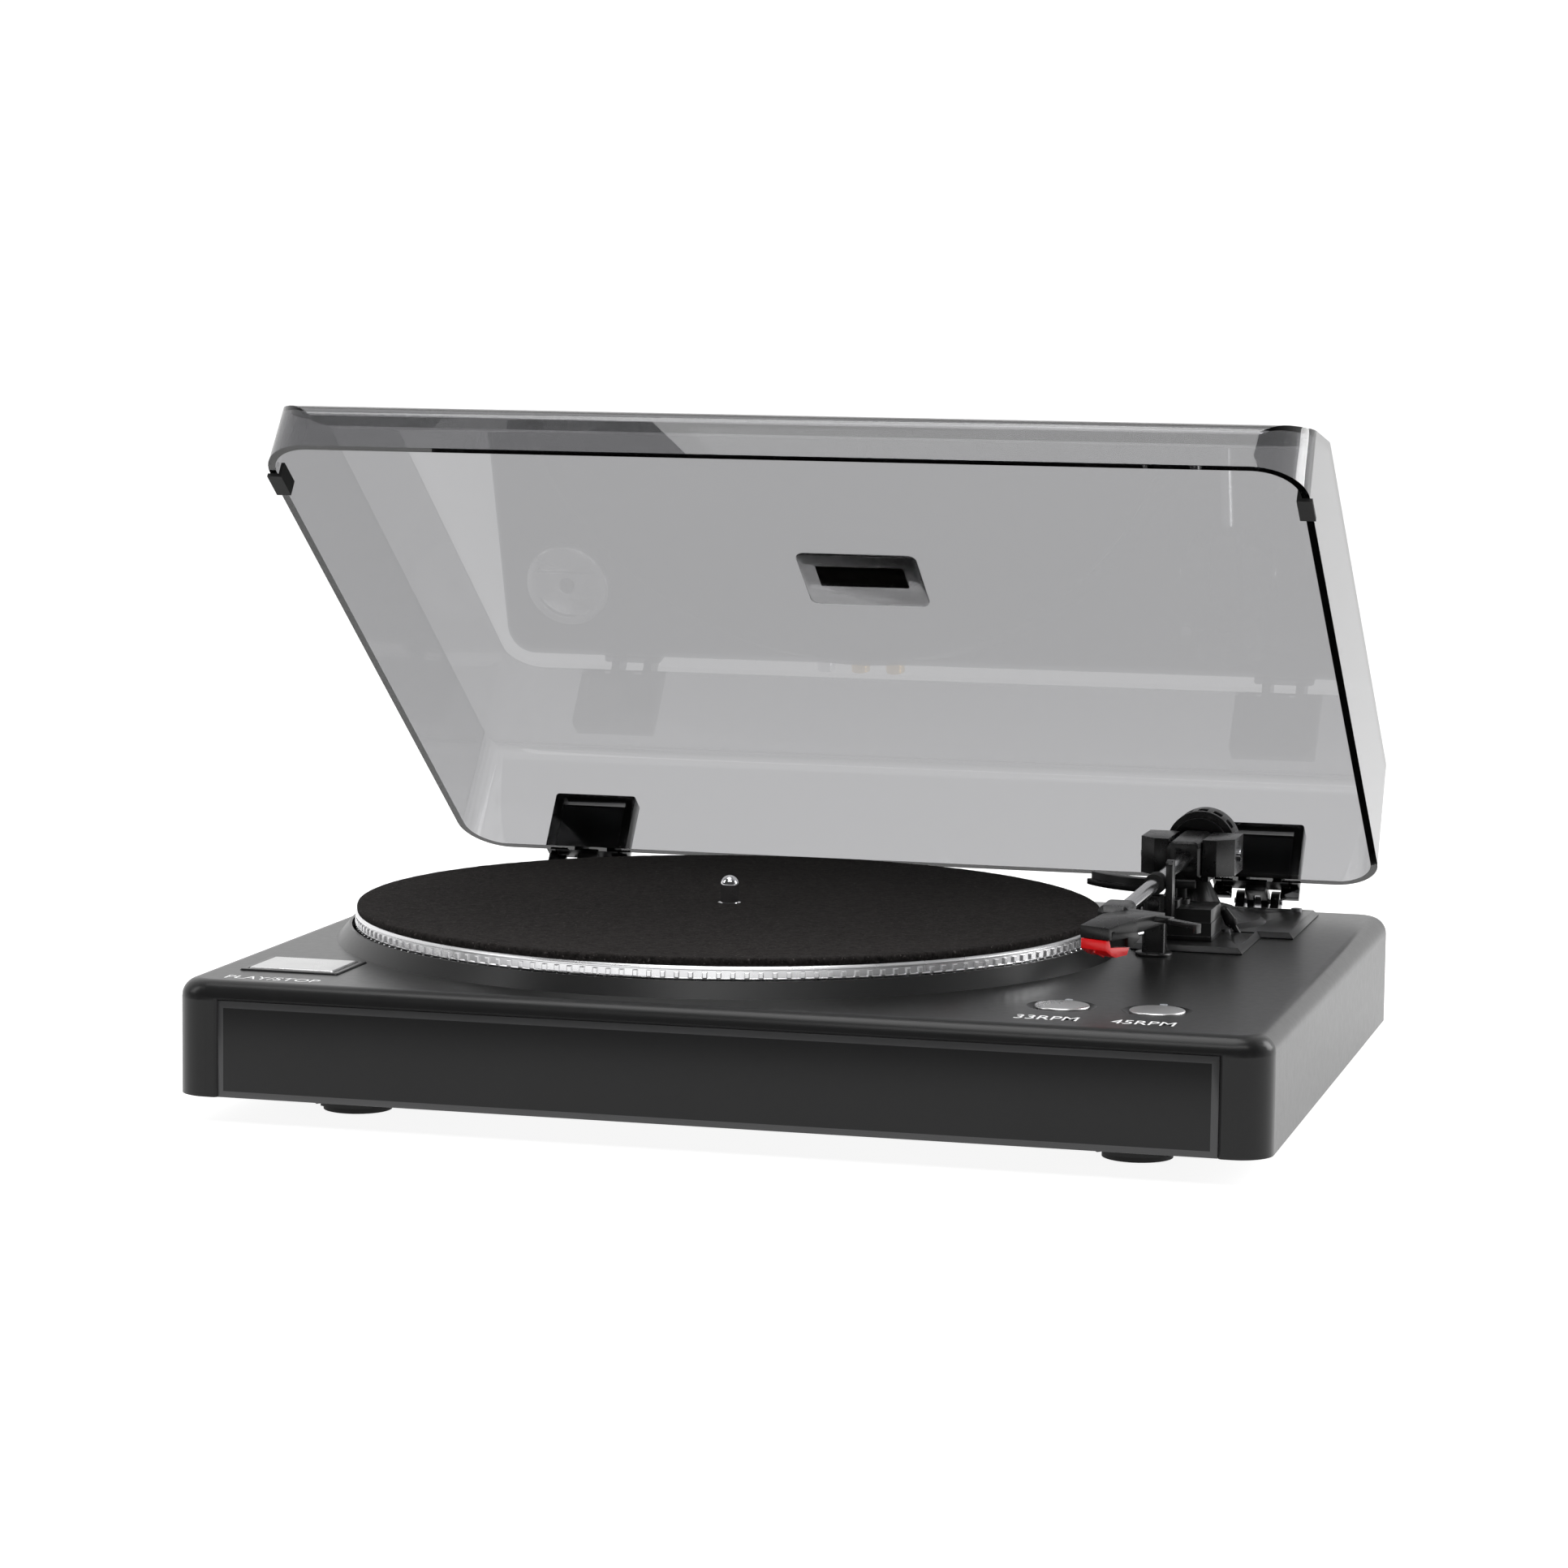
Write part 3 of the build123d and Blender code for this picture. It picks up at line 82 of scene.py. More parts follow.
class NodeBoard:
    """A new material's node tree, with short ways to add nodes and join them."""

    def __init__(self, name: str) -> None:
        """Starts a material with one Principled shader.

        Args:
            name: The material's name.
        """
        self.material = bpy.data.materials.new(name)
        self.material.use_nodes = True
        self.tree = self.material.node_tree
        self.shader = self.tree.nodes["Principled BSDF"]
        self.coords = self.tree.nodes.new("ShaderNodeTexCoord").outputs["Object"]

    def node(self, kind: str, **settings: object) -> bpy.types.Node:
        """Adds a node and sets its properties.

        Args:
            kind: The node's type name after "ShaderNode".
            **settings: Properties set on the node.

        Returns:
            The new node.
        """
        made = self.tree.nodes.new("ShaderNode" + kind)
        for key, value in settings.items():
            setattr(made, key, value)
        return made

    def join(self, source: bpy.types.NodeSocket, target: bpy.types.NodeSocket) -> None:
        """Links two sockets."""
        self.tree.links.new(source, target)

    def placed(self, centre: Point = (0, 0, 0), scale: Point = (1, 1, 1)) -> bpy.types.NodeSocket:
        """Gives coordinates counted from a point and stretched by a scale.

        Args:
            centre: The point that the coordinates are counted from.
            scale: How far they are stretched along each axis.

        Returns:
            The vector output of the mapping.
        """
        mapping = self.node("Mapping")
        mapping.inputs["Location"].default_value = [-c * s for c, s in zip(centre, scale)]
        mapping.inputs["Scale"].default_value = scale
        self.join(self.coords, mapping.inputs["Vector"])
        return mapping.outputs["Vector"]

    def noise(self, scale: float, detail: float = 3.0,
              where: bpy.types.NodeSocket | None = None,
              rough: float = 0.55) -> bpy.types.NodeSocket:
        """Adds a noise texture.

        Args:
            scale: How many cells there are to a metre.
            detail: How many finer layers are added.
            where: The coordinates it reads, or None for the piece's own.
            rough: How strong the finer layers are.

        Returns:
            The grey value of the noise.
        """
        made = self.node("TexNoise")
        made.inputs["Scale"].default_value = scale
        made.inputs["Detail"].default_value = detail
        made.inputs["Roughness"].default_value = rough
        self.join(where or self.coords, made.inputs["Vector"])
        return made.outputs["Fac"]

    def spread(self, value: bpy.types.NodeSocket, low: float, high: float,
               start: float = 0.3, end: float = 0.7) -> bpy.types.NodeSocket:
        """Maps a grey value between two limits.

        Args:
            value: The grey value.
            low: What the start of the range becomes.
            high: What the end of the range becomes.
            start: Where the range starts.
            end: Where the range ends.

        Returns:
            The mapped value.
        """
        made = self.node("MapRange")
        made.inputs["From Min"].default_value = start
        made.inputs["From Max"].default_value = end
        made.inputs["To Min"].default_value = low
        made.inputs["To Max"].default_value = high
        self.join(value, made.inputs["Value"])
        return made.outputs["Result"]

    def blend(self, value: bpy.types.NodeSocket, first: Colour,
              second: Colour) -> bpy.types.NodeSocket:
        """Blends two colours by a grey value.

        Args:
            value: The grey value, 0 for the first colour and 1 for the second.
            first: The first colour.
            second: The second colour.

        Returns:
            The blended colour.
        """
        made = self.node("Mix", data_type="RGBA")
        made.inputs["A"].default_value = (*first, 1)
        made.inputs["B"].default_value = (*second, 1)
        self.join(value, made.inputs["Factor"])
        return made.outputs["Result"]

    def bump(self, value: bpy.types.NodeSocket, depth: float, strength: float = 1.0,
             under: bpy.types.NodeSocket | None = None) -> bpy.types.NodeSocket:
        """Turns a grey value into relief of a real depth.

        Args:
            value: The height, as a grey value.
            depth: How deep the relief is, in metres.
            strength: How much of it is used.
            under: A coarser relief that this one lies on.

        Returns:
            The bent normal.
        """
        made = self.node("Bump")
        made.inputs["Strength"].default_value = strength
        made.inputs["Distance"].default_value = depth
        self.join(value, made.inputs["Height"])
        if under is not None:
            self.join(under, made.inputs["Normal"])
        return made.outputs["Normal"]

    def drive(self, **sockets: bpy.types.NodeSocket) -> None:
        """Links sockets to the shader; words are joined by an underscore."""
        for key, source in sockets.items():
            self.join(source, self.shader.inputs[key.replace("_", " ")])

    def fix(self, **values: object) -> None:
        """Sets plain values on the shader."""
        for key, value in values.items():
            self.shader.inputs[key.replace("_", " ")].default_value = value


@dataclass(frozen=True)
class Moulding:
    """A moulded plastic with a fine sprayed grain."""

    name: str
    colour: Colour
    roughness: float = 0.42
    grain: float = 0.00002
    grain_scale: float = 1500.0
    gloss: float = 0.5

    def material(self) -> bpy.types.Material:
        """Builds the plastic's material.

        Returns:
            The finished material.
        """
        board = NodeBoard(self.name)
        grain = board.noise(self.grain_scale, 2.0)
        cloud = board.noise(35.0, 4.0)
        light = tuple(min(1.0, c * 1.06) for c in self.colour)
        dark = tuple(c * 0.95 for c in self.colour)
        tone = board.blend(board.spread(cloud, 0.0, 1.0, 0.3, 0.7), dark, light)
        rough = board.spread(board.noise(300.0, 3.0), self.roughness * 0.96, self.roughness * 1.04)
        board.drive(Base_Color=tone, Roughness=rough, Normal=board.bump(grain, self.grain, 0.6))
        board.fix(Specular_IOR_Level=self.gloss)
        return board.material


@dataclass(frozen=True)
class Metal:
    """A plated, turned or drawn metal."""

    name: str
    colour: Colour
    roughness: float = 0.2
    brush: Point = (1.0, 1.0, 1.0)
    brush_scale: float = 900.0
    depth: float = 0.000004

    def material(self) -> bpy.types.Material:
        """Builds the metal's material, with its brushing stretched along one direction.

        Returns:
            The finished material.
        """
        board = NodeBoard(self.name)
        lines = board.noise(self.brush_scale, 3.0, board.placed(scale=self.brush))
        smudge = board.noise(60.0, 4.0)
        light = tuple(min(1.0, c * 1.06) for c in self.colour)
        dark = tuple(c * 0.9 for c in self.colour)
        board.drive(Base_Color=board.blend(smudge, dark, light),
                    Roughness=board.spread(smudge, self.roughness * 0.8, self.roughness * 1.25),
                    Normal=board.bump(lines, self.depth, 0.5))
        board.fix(Metallic=1.0)
        return board.material


@dataclass(frozen=True)
class TurnedMetal:
    """A metal turned on a lathe: fine rings about an upright axis."""

    name: str
    colour: Colour
    centre: Point
    roughness: float = 0.24
    pitch: float = 0.0006

    def material(self) -> bpy.types.Material:
        """Builds the material with its rings about the wheel's axis.

        Returns:
            The finished material.
        """
        board = NodeBoard(self.name)
        where = board.placed(centre=self.centre)
        wave = board.node("TexWave", wave_type="RINGS", rings_direction="Z")
        wave.inputs["Scale"].default_value = 0.314 / self.pitch
        wave.inputs["Distortion"].default_value = 0.15
        wave.inputs["Detail"].default_value = 1.0
        board.join(where, wave.inputs["Vector"])
        smudge = board.noise(45.0, 4.0)
        light = tuple(min(1.0, c * 1.05) for c in self.colour)
        dark = tuple(c * 0.88 for c in self.colour)
        board.drive(Base_Color=board.blend(smudge, dark, light),
                    Roughness=board.spread(smudge, self.roughness * 0.8, self.roughness * 1.2),
                    Normal=board.bump(wave.outputs["Fac"], 0.000002, 0.3))
        board.fix(Metallic=1.0)
        return board.material


@dataclass(frozen=True)
class Felt:
    """A pressed felt: short fibres, pale flecks and a soft sheen."""

    name: str
    dark: Colour
    light: Colour
    fleck: Colour

    def material(self) -> bpy.types.Material:
        """Builds the felt's material.

        Returns:
            The finished material.
        """
        board = NodeBoard(self.name)
        tuft = board.noise(480.0, 6.0, rough=0.8)
        fibre = board.noise(1500.0, 4.0, board.placed(scale=(1.0, 0.35, 1.0)), rough=0.7)
        cross = board.noise(1500.0, 4.0, board.placed(scale=(0.35, 1.0, 1.0)), rough=0.7)
        base = board.blend(board.spread(tuft, 0.0, 1.0, 0.38, 0.64), self.dark, self.light)
        mix = board.node("Mix", data_type="RGBA")
        flecks = board.spread(board.noise(800.0, 2.0), 0.0, 1.0, 0.63, 0.72)
        board.join(flecks, mix.inputs["Factor"])
        board.join(base, mix.inputs["A"])
        mix.inputs["B"].default_value = (*self.fleck, 1)
        relief = board.bump(tuft, 0.0005, 0.8)
        relief = board.bump(fibre, 0.0003, 0.7, relief)
        relief = board.bump(cross, 0.0003, 0.7, relief)
        board.drive(Base_Color=mix.outputs["Result"], Normal=relief)
        board.fix(Roughness=0.96, Specular_IOR_Level=0.08, Sheen_Weight=0.06, Sheen_Roughness=0.6,
                  Sheen_Tint=(0.5, 0.46, 0.44, 1))
        return board.material


@dataclass(frozen=True)
class SmokeSheet:
    """A clear smoke-tinted acrylic that darkens with the length of its path."""

    name: str
    tint: Colour
    density: float
    roughness: float = 0.004

    def material(self) -> bpy.types.Material:
        """Builds the clear plastic, with faint moulding haze.

        Returns:
            The finished material.
        """
        board = NodeBoard(self.name)
        haze = board.noise(25.0, 4.0)
        board.drive(Roughness=board.spread(haze, self.roughness * 0.6, self.roughness * 1.6))
        board.fix(Base_Color=(1, 1, 1, 1), Transmission_Weight=1.0, IOR=1.49)
        inside = board.node("VolumeAbsorption")
        inside.inputs["Color"].default_value = (*self.tint, 1)
        inside.inputs["Density"].default_value = self.density
        board.join(inside.outputs["Volume"], board.tree.nodes["Material Output"].inputs["Volume"])
        return board.material


@dataclass(frozen=True)
class Glow:
    """A clear lens or diffuse cap that stands over a lamp that is off."""

    name: str
    colour: Colour

    def material(self) -> bpy.types.Material:
        """Builds the lens material.

        Returns:
            The finished material.
        """
        board = NodeBoard(self.name)
        cloud = board.noise(900.0, 2.0)
        board.drive(Base_Color=board.blend(cloud, self.colour, tuple(c * 0.8 for c in self.colour)))
        board.fix(Roughness=0.18, Coat_Weight=0.6, Coat_Roughness=0.08)
        return board.material


@dataclass
class FinishShelf:
    """Every finish by the record's slot name, each material built once."""

    made: dict[str, bpy.types.Material] = field(default_factory=dict)

    def recipes(self) -> dict[str, object]:
        """Lists the finish of each slot.

        Returns:
            Each finish by its slot's name.
        """
        wheel = middle_of("platter")
        return {
            "black_case": Moulding("satin_black_case", (0.0105, 0.0105, 0.0107),
                                   0.29, 0.000008, 2600, 0.24),
            "black_trim": Moulding("smooth_black_trim", (0.0085, 0.0085, 0.0088),
                                   0.3, 0.000006, 2600, 0.24),
            # Painted highlight: a lighter black than the trim, laid only on the front panel's
            # bevelled border.
            "panel_bevel_highlight_paint": Moulding("panel_border_painted_highlight", (0.034, 0.034, 0.035),
                                   0.34, 0.000006, 2600, 0.5),
            "dark_sheet": Moulding("dark_fibreboard", (0.03, 0.028, 0.026),
                                   0.75, 0.00006, 700, 0.3),
            "rubber_black": Moulding("soft_rubber", (0.014, 0.014, 0.014),
                                     0.72, 0.00003, 1200, 0.3),
            "screw_steel": Metal("zinc_screw", (0.34, 0.34, 0.35), 0.3),
            "platter_silver": TurnedMetal("turned_silver", (0.8, 0.8, 0.81), tuple(wheel), 0.27),
            "felt": Felt("charcoal_felt", (0.0035, 0.003, 0.0029), (0.026, 0.0232, 0.0225),
                         (0.07, 0.062, 0.06)),
            "chrome": Metal("bright_chrome", (0.78, 0.78, 0.8), 0.08, depth=0.000001),
            "bronze": Metal("sintered_bronze", (0.55, 0.36, 0.18), 0.4),
            "motor_can": Metal("plated_can", (0.55, 0.55, 0.56), 0.35, (0.1, 0.1, 1.0)),
            "button_silver": Metal("silver_painted_cap", (0.62, 0.62, 0.62), 0.3, depth=0.000002),
            "pcb": Moulding("green_board", (0.02, 0.11, 0.035), 0.4, 0.00002, 900, 0.5),
            "component": Moulding("black_component", (0.02, 0.02, 0.022), 0.35, 0.00001, 1500, 0.5),
            "led": Glow("clear_lens", (0.62, 0.66, 0.7)),
            "gold": Metal("gold_contact", (0.72, 0.5, 0.2), 0.22),
            "arm_black": Moulding("black_arm_block", (0.0085, 0.0085, 0.0088),
                                  0.28, 0.00001, 2000, 0.42),
            "deep_smoke": Moulding("deep_smoke_socket", (0.0022, 0.0022, 0.0024),
                                   0.07, 0.000002, 3000, 0.5),
            "arm_chrome": Metal("satin_tube", (0.56, 0.56, 0.57), 0.16, (1.0, 0.04, 1.0), 1500),
            "stylus_red": Moulding("red_stylus", (0.82, 0.004, 0.007), 0.24, 0.000006, 2500, 0.5),
            "smoke": SmokeSheet("smoke_acrylic", (0.03, 0.03, 0.05), 280.0),
            "badge_grey": SmokeSheet("clear_plate", (0.2, 0.2, 0.2), 60.0, 0.0),
            "badge_window": Moulding("dark_window", (0.004, 0.004, 0.004),
                                     0.25, 0.000004, 3000, 0.5),
            "legend": Moulding("pale_legend_ink", (0.86, 0.86, 0.86), 0.6, 0.000004, 3000, 0.3),
        }

    def get(self, slot: str) -> bpy.types.Material:
        """Gives a slot's material, building it at first use.

        Args:
            slot: The slot's name, or a look's.

        Returns:
            The material.
        """
        if slot not in self.made:
            self.made[slot] = self.recipes()[slot].material()
        return self.made[slot]


# ---------------------------------------------------------------- workbench


class Edges(Enum):
    """How soft a copied piece's edges are, in metres."""

    CRISP = 0.00015
    FINE = 0.0003
    SOFT = 0.0006

    def segments(self) -> int:
        """Gives the facets across each rounded edge."""
        return 3 if self is Edges.SOFT else 2


class Workbench:
    """Mesh work done with Blender's own operators."""

    @staticmethod
    def clear() -> None:
        """Deselects everything."""
        if bpy.context.mode != "OBJECT":
            bpy.ops.object.mode_set(mode="OBJECT")
        bpy.ops.object.select_all(action="DESELECT")

    @staticmethod
    def pick(obj: bpy.types.Object) -> None:
        """Makes one object the only selected one.

        Args:
            obj: The object.
        """
        Workbench.clear()
        obj.select_set(True)
        bpy.context.view_layer.objects.active = obj

    @staticmethod
    def settle(obj: bpy.types.Object) -> None:
        """Moves an object's place, turn and size into its mesh."""
        Workbench.pick(obj)
        bpy.ops.object.transform_apply(location=True, rotation=True, scale=True)

    @staticmethod
    def smooth(obj: bpy.types.Object, degrees: float = 35.0) -> None:
        """Shades an object smooth between faces that meet at less than an angle."""
        Workbench.pick(obj)
        bpy.ops.object.shade_smooth_by_angle(angle=math.radians(degrees))

    @staticmethod
    def apply(obj: bpy.types.Object) -> None:
        """Applies all of an object's modifiers."""
        Workbench.pick(obj)
        for modifier in list(obj.modifiers):
            bpy.ops.object.modifier_apply(modifier=modifier.name)

    @staticmethod
    def select_faces(obj: bpy.types.Object, test: Callable[[bmesh.types.BMFace], bool]) -> None:
        """Enters edit mode and selects the faces that pass a test.

        Args:
            obj: The object.
            test: Says of a face whether it is selected.
        """
        Workbench.pick(obj)
        bpy.ops.object.mode_set(mode="EDIT")
        bpy.ops.mesh.select_mode(type="FACE")
        bpy.ops.mesh.select_all(action="DESELECT")
        mesh = bmesh.from_edit_mesh(obj.data)
        for face in mesh.faces:
            face.select_set(test(face))
        bmesh.update_edit_mesh(obj.data)

    @staticmethod
    def cube(name: str, centre: Point, size: Point) -> bpy.types.Object:
        """Adds a block at a place.

        Args:
            name: The piece's name.
            centre: The block's middle.
            size: Its width, depth and height.

        Returns:
            The block.
        """
        Workbench.clear()
        bpy.ops.mesh.primitive_cube_add(size=1.0, location=centre)
        made = bpy.context.active_object
        made.name = name
        made.scale = size
        Workbench.settle(made)
        return made

    @staticmethod
    def bevel(obj: bpy.types.Object, width: float, segments: int = 2,
              degrees: float = 30.0) -> None:
        """Rounds an object's sharp edges and applies it.

        Args:
            obj: The object.
            width: How far the rounding reaches.
            segments: Facets across each rounded edge.
            degrees: Edges sharper than this are rounded.
        """
        modifier = obj.modifiers.new("round", "BEVEL")
        modifier.width = width
        modifier.segments = segments
        modifier.limit_method = "ANGLE"
        modifier.angle_limit = math.radians(degrees)
        modifier.harden_normals = False
        Workbench.apply(obj)

    @staticmethod
    def turned(name: str, profile: list[tuple[float, float]], centre: Point,
               steps: int) -> bpy.types.Object:
        """Spins a closed profile about an upright axis.

        Args:
            name: The piece's name.
            profile: Radius and height pairs, round a closed outline that stays off the axis.
            centre: The axis's place; heights are counted from its z.
            steps: How many steps make the full turn.

        Returns:
            The turned piece.
        """
        Workbench.clear()
        bpy.ops.mesh.primitive_plane_add(size=1.0, location=(0, 0, 0))
        made = bpy.context.active_object
        made.name = name
        bpy.ops.object.mode_set(mode="EDIT")
        mesh = bmesh.from_edit_mesh(made.data)
        bmesh.ops.delete(mesh, geom=list(mesh.verts), context="VERTS")
        ring = [mesh.verts.new((centre[0] + r, centre[1], centre[2] + z)) for r, z in profile]
        for first, second in zip(ring, ring[1:] + ring[:1]):
            mesh.edges.new((first, second))
        for vert in mesh.verts:
            vert.select_set(True)
        mesh.select_flush(True)
        for edge in mesh.edges:
            edge.select_set(True)
        bmesh.update_edit_mesh(made.data)
        bpy.ops.mesh.spin(steps=steps, dupli=False, angle=math.tau, center=centre, axis=(0, 0, 1))
        bpy.ops.mesh.select_all(action="SELECT")
        bpy.ops.mesh.remove_doubles(threshold=TURNED_MERGE)
        bpy.ops.mesh.normals_make_consistent(inside=False)
        bpy.ops.object.mode_set(mode="OBJECT")
        return made

    @staticmethod
    def around(obj: bpy.types.Object, count: int, centre: Point) -> None:
        """Repeats a whole mesh round an upright axis.

        Args:
            obj: The object, which becomes one of the repeats.
            count: How many there are in the full turn.
            centre: A point on the axis.
        """
        Workbench.pick(obj)
        bpy.ops.object.mode_set(mode="EDIT")
        bpy.ops.mesh.select_all(action="SELECT")
        bpy.ops.mesh.spin(steps=count - 1, dupli=True, angle=math.tau * (count - 1) / count,
                          center=centre, axis=(0, 0, 1))
        bpy.ops.object.mode_set(mode="OBJECT")

    @staticmethod
    def join(name: str, pieces: Iterable[bpy.types.Object]) -> bpy.types.Object:
        """Joins pieces into one object.

        Args:
            name: The joined piece's name.
            pieces: The pieces, of which the first stays.

        Returns:
            The joined piece.
        """
        pieces = list(pieces)
        Workbench.clear()
        for piece in pieces:
            piece.select_set(True)
        bpy.context.view_layer.objects.active = pieces[0]
        if len(pieces) > 1:
            bpy.ops.object.join()
        pieces[0].name = name
        return pieces[0]

    @staticmethod
    def text(name: str, words: str, centre: Point, width: float,
             depth: float) -> bpy.types.Object:
        """Sets words as thin raised print on a level face.

        Args:
            name: The piece's name.
            words: What is printed.
            centre: The middle of the line, on the face.
            width: How wide the line is, along X.
            depth: How tall its letters are, along Y.

        Returns:
            The print as a mesh.
        """
        Workbench.clear()
        bpy.ops.object.text_add(location=(0, 0, 0))
        made = bpy.context.active_object
        made.name = name
        made.data.body = words
        made.data.size = depth
        made.data.extrude = PRINT_THICK
        made.data.offset = depth * PRINT_SWELL
        made.data.resolution_u = 3
        Workbench.pick(made)
        bpy.ops.object.convert(target="MESH")
        made = bpy.context.active_object
        places = [vert.co for vert in made.data.vertices]
        low = [min(p[i] for p in places) for i in range(3)]
        high = [max(p[i] for p in places) for i in range(3)]
        made.scale = (width / (high[0] - low[0]), depth / (high[1] - low[1]), 1.0)
        made.location = [c - s * (a + b) / 2 for c, s, a, b in zip(centre, made.scale, low, high)]
        Workbench.settle(made)
        return made


@dataclass
class SubAssembly:
    """A group of pieces that is dressed and modelled together."""

    finishes: FinishShelf
    pieces: list[str] = field(default_factory=list)

    def dress(self, *nodes: str) -> None:
        """Gives CAD nodes their slot's detailed finish.

        Args:
            *nodes: The nodes' names.
        """
        for node in nodes:
            self.pieces.append(node)
            obj = frame["nodes"][node]
            material = self.finishes.get(SLOT_OF[node])
            for slot in obj.material_slots:
                slot.material = material
            if not obj.material_slots:
                obj.data.materials.append(material)

    def finish(self, piece: bpy.types.Object, slot: str, body: str,
               look: str | None = None) -> bpy.types.Object:
        """Gives a new piece the material of its record slot, or of a look, and the body it rides
        on.

        Args:
            piece: The new piece.
            slot: The record's material slot.
            body: The body it moves with.
            look: A finish other than the slot's own.

        Returns:
            The same piece.
        """
        piece.data.materials.clear()
        piece.data.materials.append(self.finishes.get(look or slot))
        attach(piece, body)
        self.pieces.append(piece.name)
        return piece

    def softened(self, node: str, edges: Edges = Edges.FINE,
                 look: str | None = None) -> bpy.types.Object:
        """Replaces a CAD node by a copy whose edges are rounded.

        Args:
            node: The CAD node's name.
            edges: How far the rounding reaches.
            look: A finish other than the slot's own.

        Returns:
            The new piece.
        """
        source = frame["nodes"][node]
        piece = bpy.data.objects.new(node + "_soft", source.data.copy())
        bpy.context.scene.collection.objects.link(piece)
        Workbench.pick(piece)
        bpy.ops.object.mode_set(mode="EDIT")
        bpy.ops.mesh.select_all(action="SELECT")
        bpy.ops.mesh.remove_doubles(threshold=COPY_MERGE)
        bpy.ops.mesh.dissolve_limited(angle_limit=FLAT_WITHIN, delimit={"NORMAL"})
        bpy.ops.object.mode_set(mode="OBJECT")
        if piece.data.has_custom_normals:
            bpy.ops.mesh.customdata_custom_splitnormals_clear()
        Workbench.bevel(piece, edges.value, edges.segments(), ROUNDED_FROM)
        Workbench.smooth(piece, SMOOTH_UNDER)
        self.finish(piece, SLOT_OF[node], BODY_OF[node], look)
        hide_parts(node)
        return piece


# ---------------------------------------------------------------- sub-assemblies


@dataclass
class Plinth(SubAssembly):
    """The case with its front panel, feet, boards and rear terminals.

    A label is a button, its words, how far ahead of it they stand, their width and the
    height of their letters. A face of the front panel whose normal's Y lies between the two
    values of border_lean belongs to the bevelled border, which takes a lighter colour as a
    painted highlight.
    """

    labels: tuple[tuple[str, str, float, float, float], ...] = (
        ("speed_button_33", "33RPM", 0.028, 0.0228, 0.0082),
        ("speed_button_45", "45RPM", 0.028, 0.0228, 0.0082),
        ("play_stop_button", "PLAY/STOP", 0.032, 0.0365, 0.0062),
    )
    border_lean: tuple[float, float] = (-0.99, -0.3)

    def build(self) -> None:
        """Dresses the case and prints its legends."""
        self.dress("plinth_shell", "bottom_plate", "feet", "foot_pads", "bottom_screws",
                   "chassis_screws", "bearing_housing", "bearing_bush", "motor", "drive_belt",
                   "tact_switches", "circuit_boards", "board_components", "speed_lights",
                   "rca_jacks", "ground_post", "slide_switch_case", "power_inlet",
                   "rear_screws", "motor_pulley", "yaw_bearings", "cue_pivot_pin")
        for node in ("rear_plate", "slide_switch_knob"):
            self.softened(node, Edges.FINE)
        self.front()
        self.legends()

    def front(self) -> None:
        """Rounds the front panel and gives its bevelled border a lighter, glossier finish: a
        painted highlight.
        """
        panel = self.softened("front_panel", Edges.CRISP)
        # The border faces take the lighter finish, a painted highlight along the bevel.
        panel.data.materials.append(self.finishes.get("panel_bevel_highlight_paint"))
        for face in panel.data.polygons:
            if self.border_lean[0] < face.normal.y < self.border_lean[1]:
                face.material_index = 1

    def deck_top(self) -> float:
        """Gives the deck's height, from the tonearm base's underside."""
        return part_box("tonearm_base")[0][2]

    def legends(self) -> None:
        """Prints the generic words by the buttons."""
        top = self.deck_top()
        for node, words, ahead, width, depth in self.labels:
            where = middle_of(node)
            print_on_deck = Workbench.text(f"legend_{words.replace('/', '_')}", words,
                                           (where.x, where.y - ahead, top), width, depth)
            self.finish(print_on_deck, "black_case", "plinth", "legend")


@dataclass
class Controls(SubAssembly):
    """The deck buttons with their bezel and the large-hole adapter."""

    def build(self) -> None:
        """Rounds the caps and the bezel."""
        self.softened("play_stop_button", Edges.SOFT)
        for node in ("play_bezel", "speed_button_33", "speed_button_45"):
            self.softened(node, Edges.CRISP)
        self.softened("single_adapter", Edges.FINE, look="button_silver")


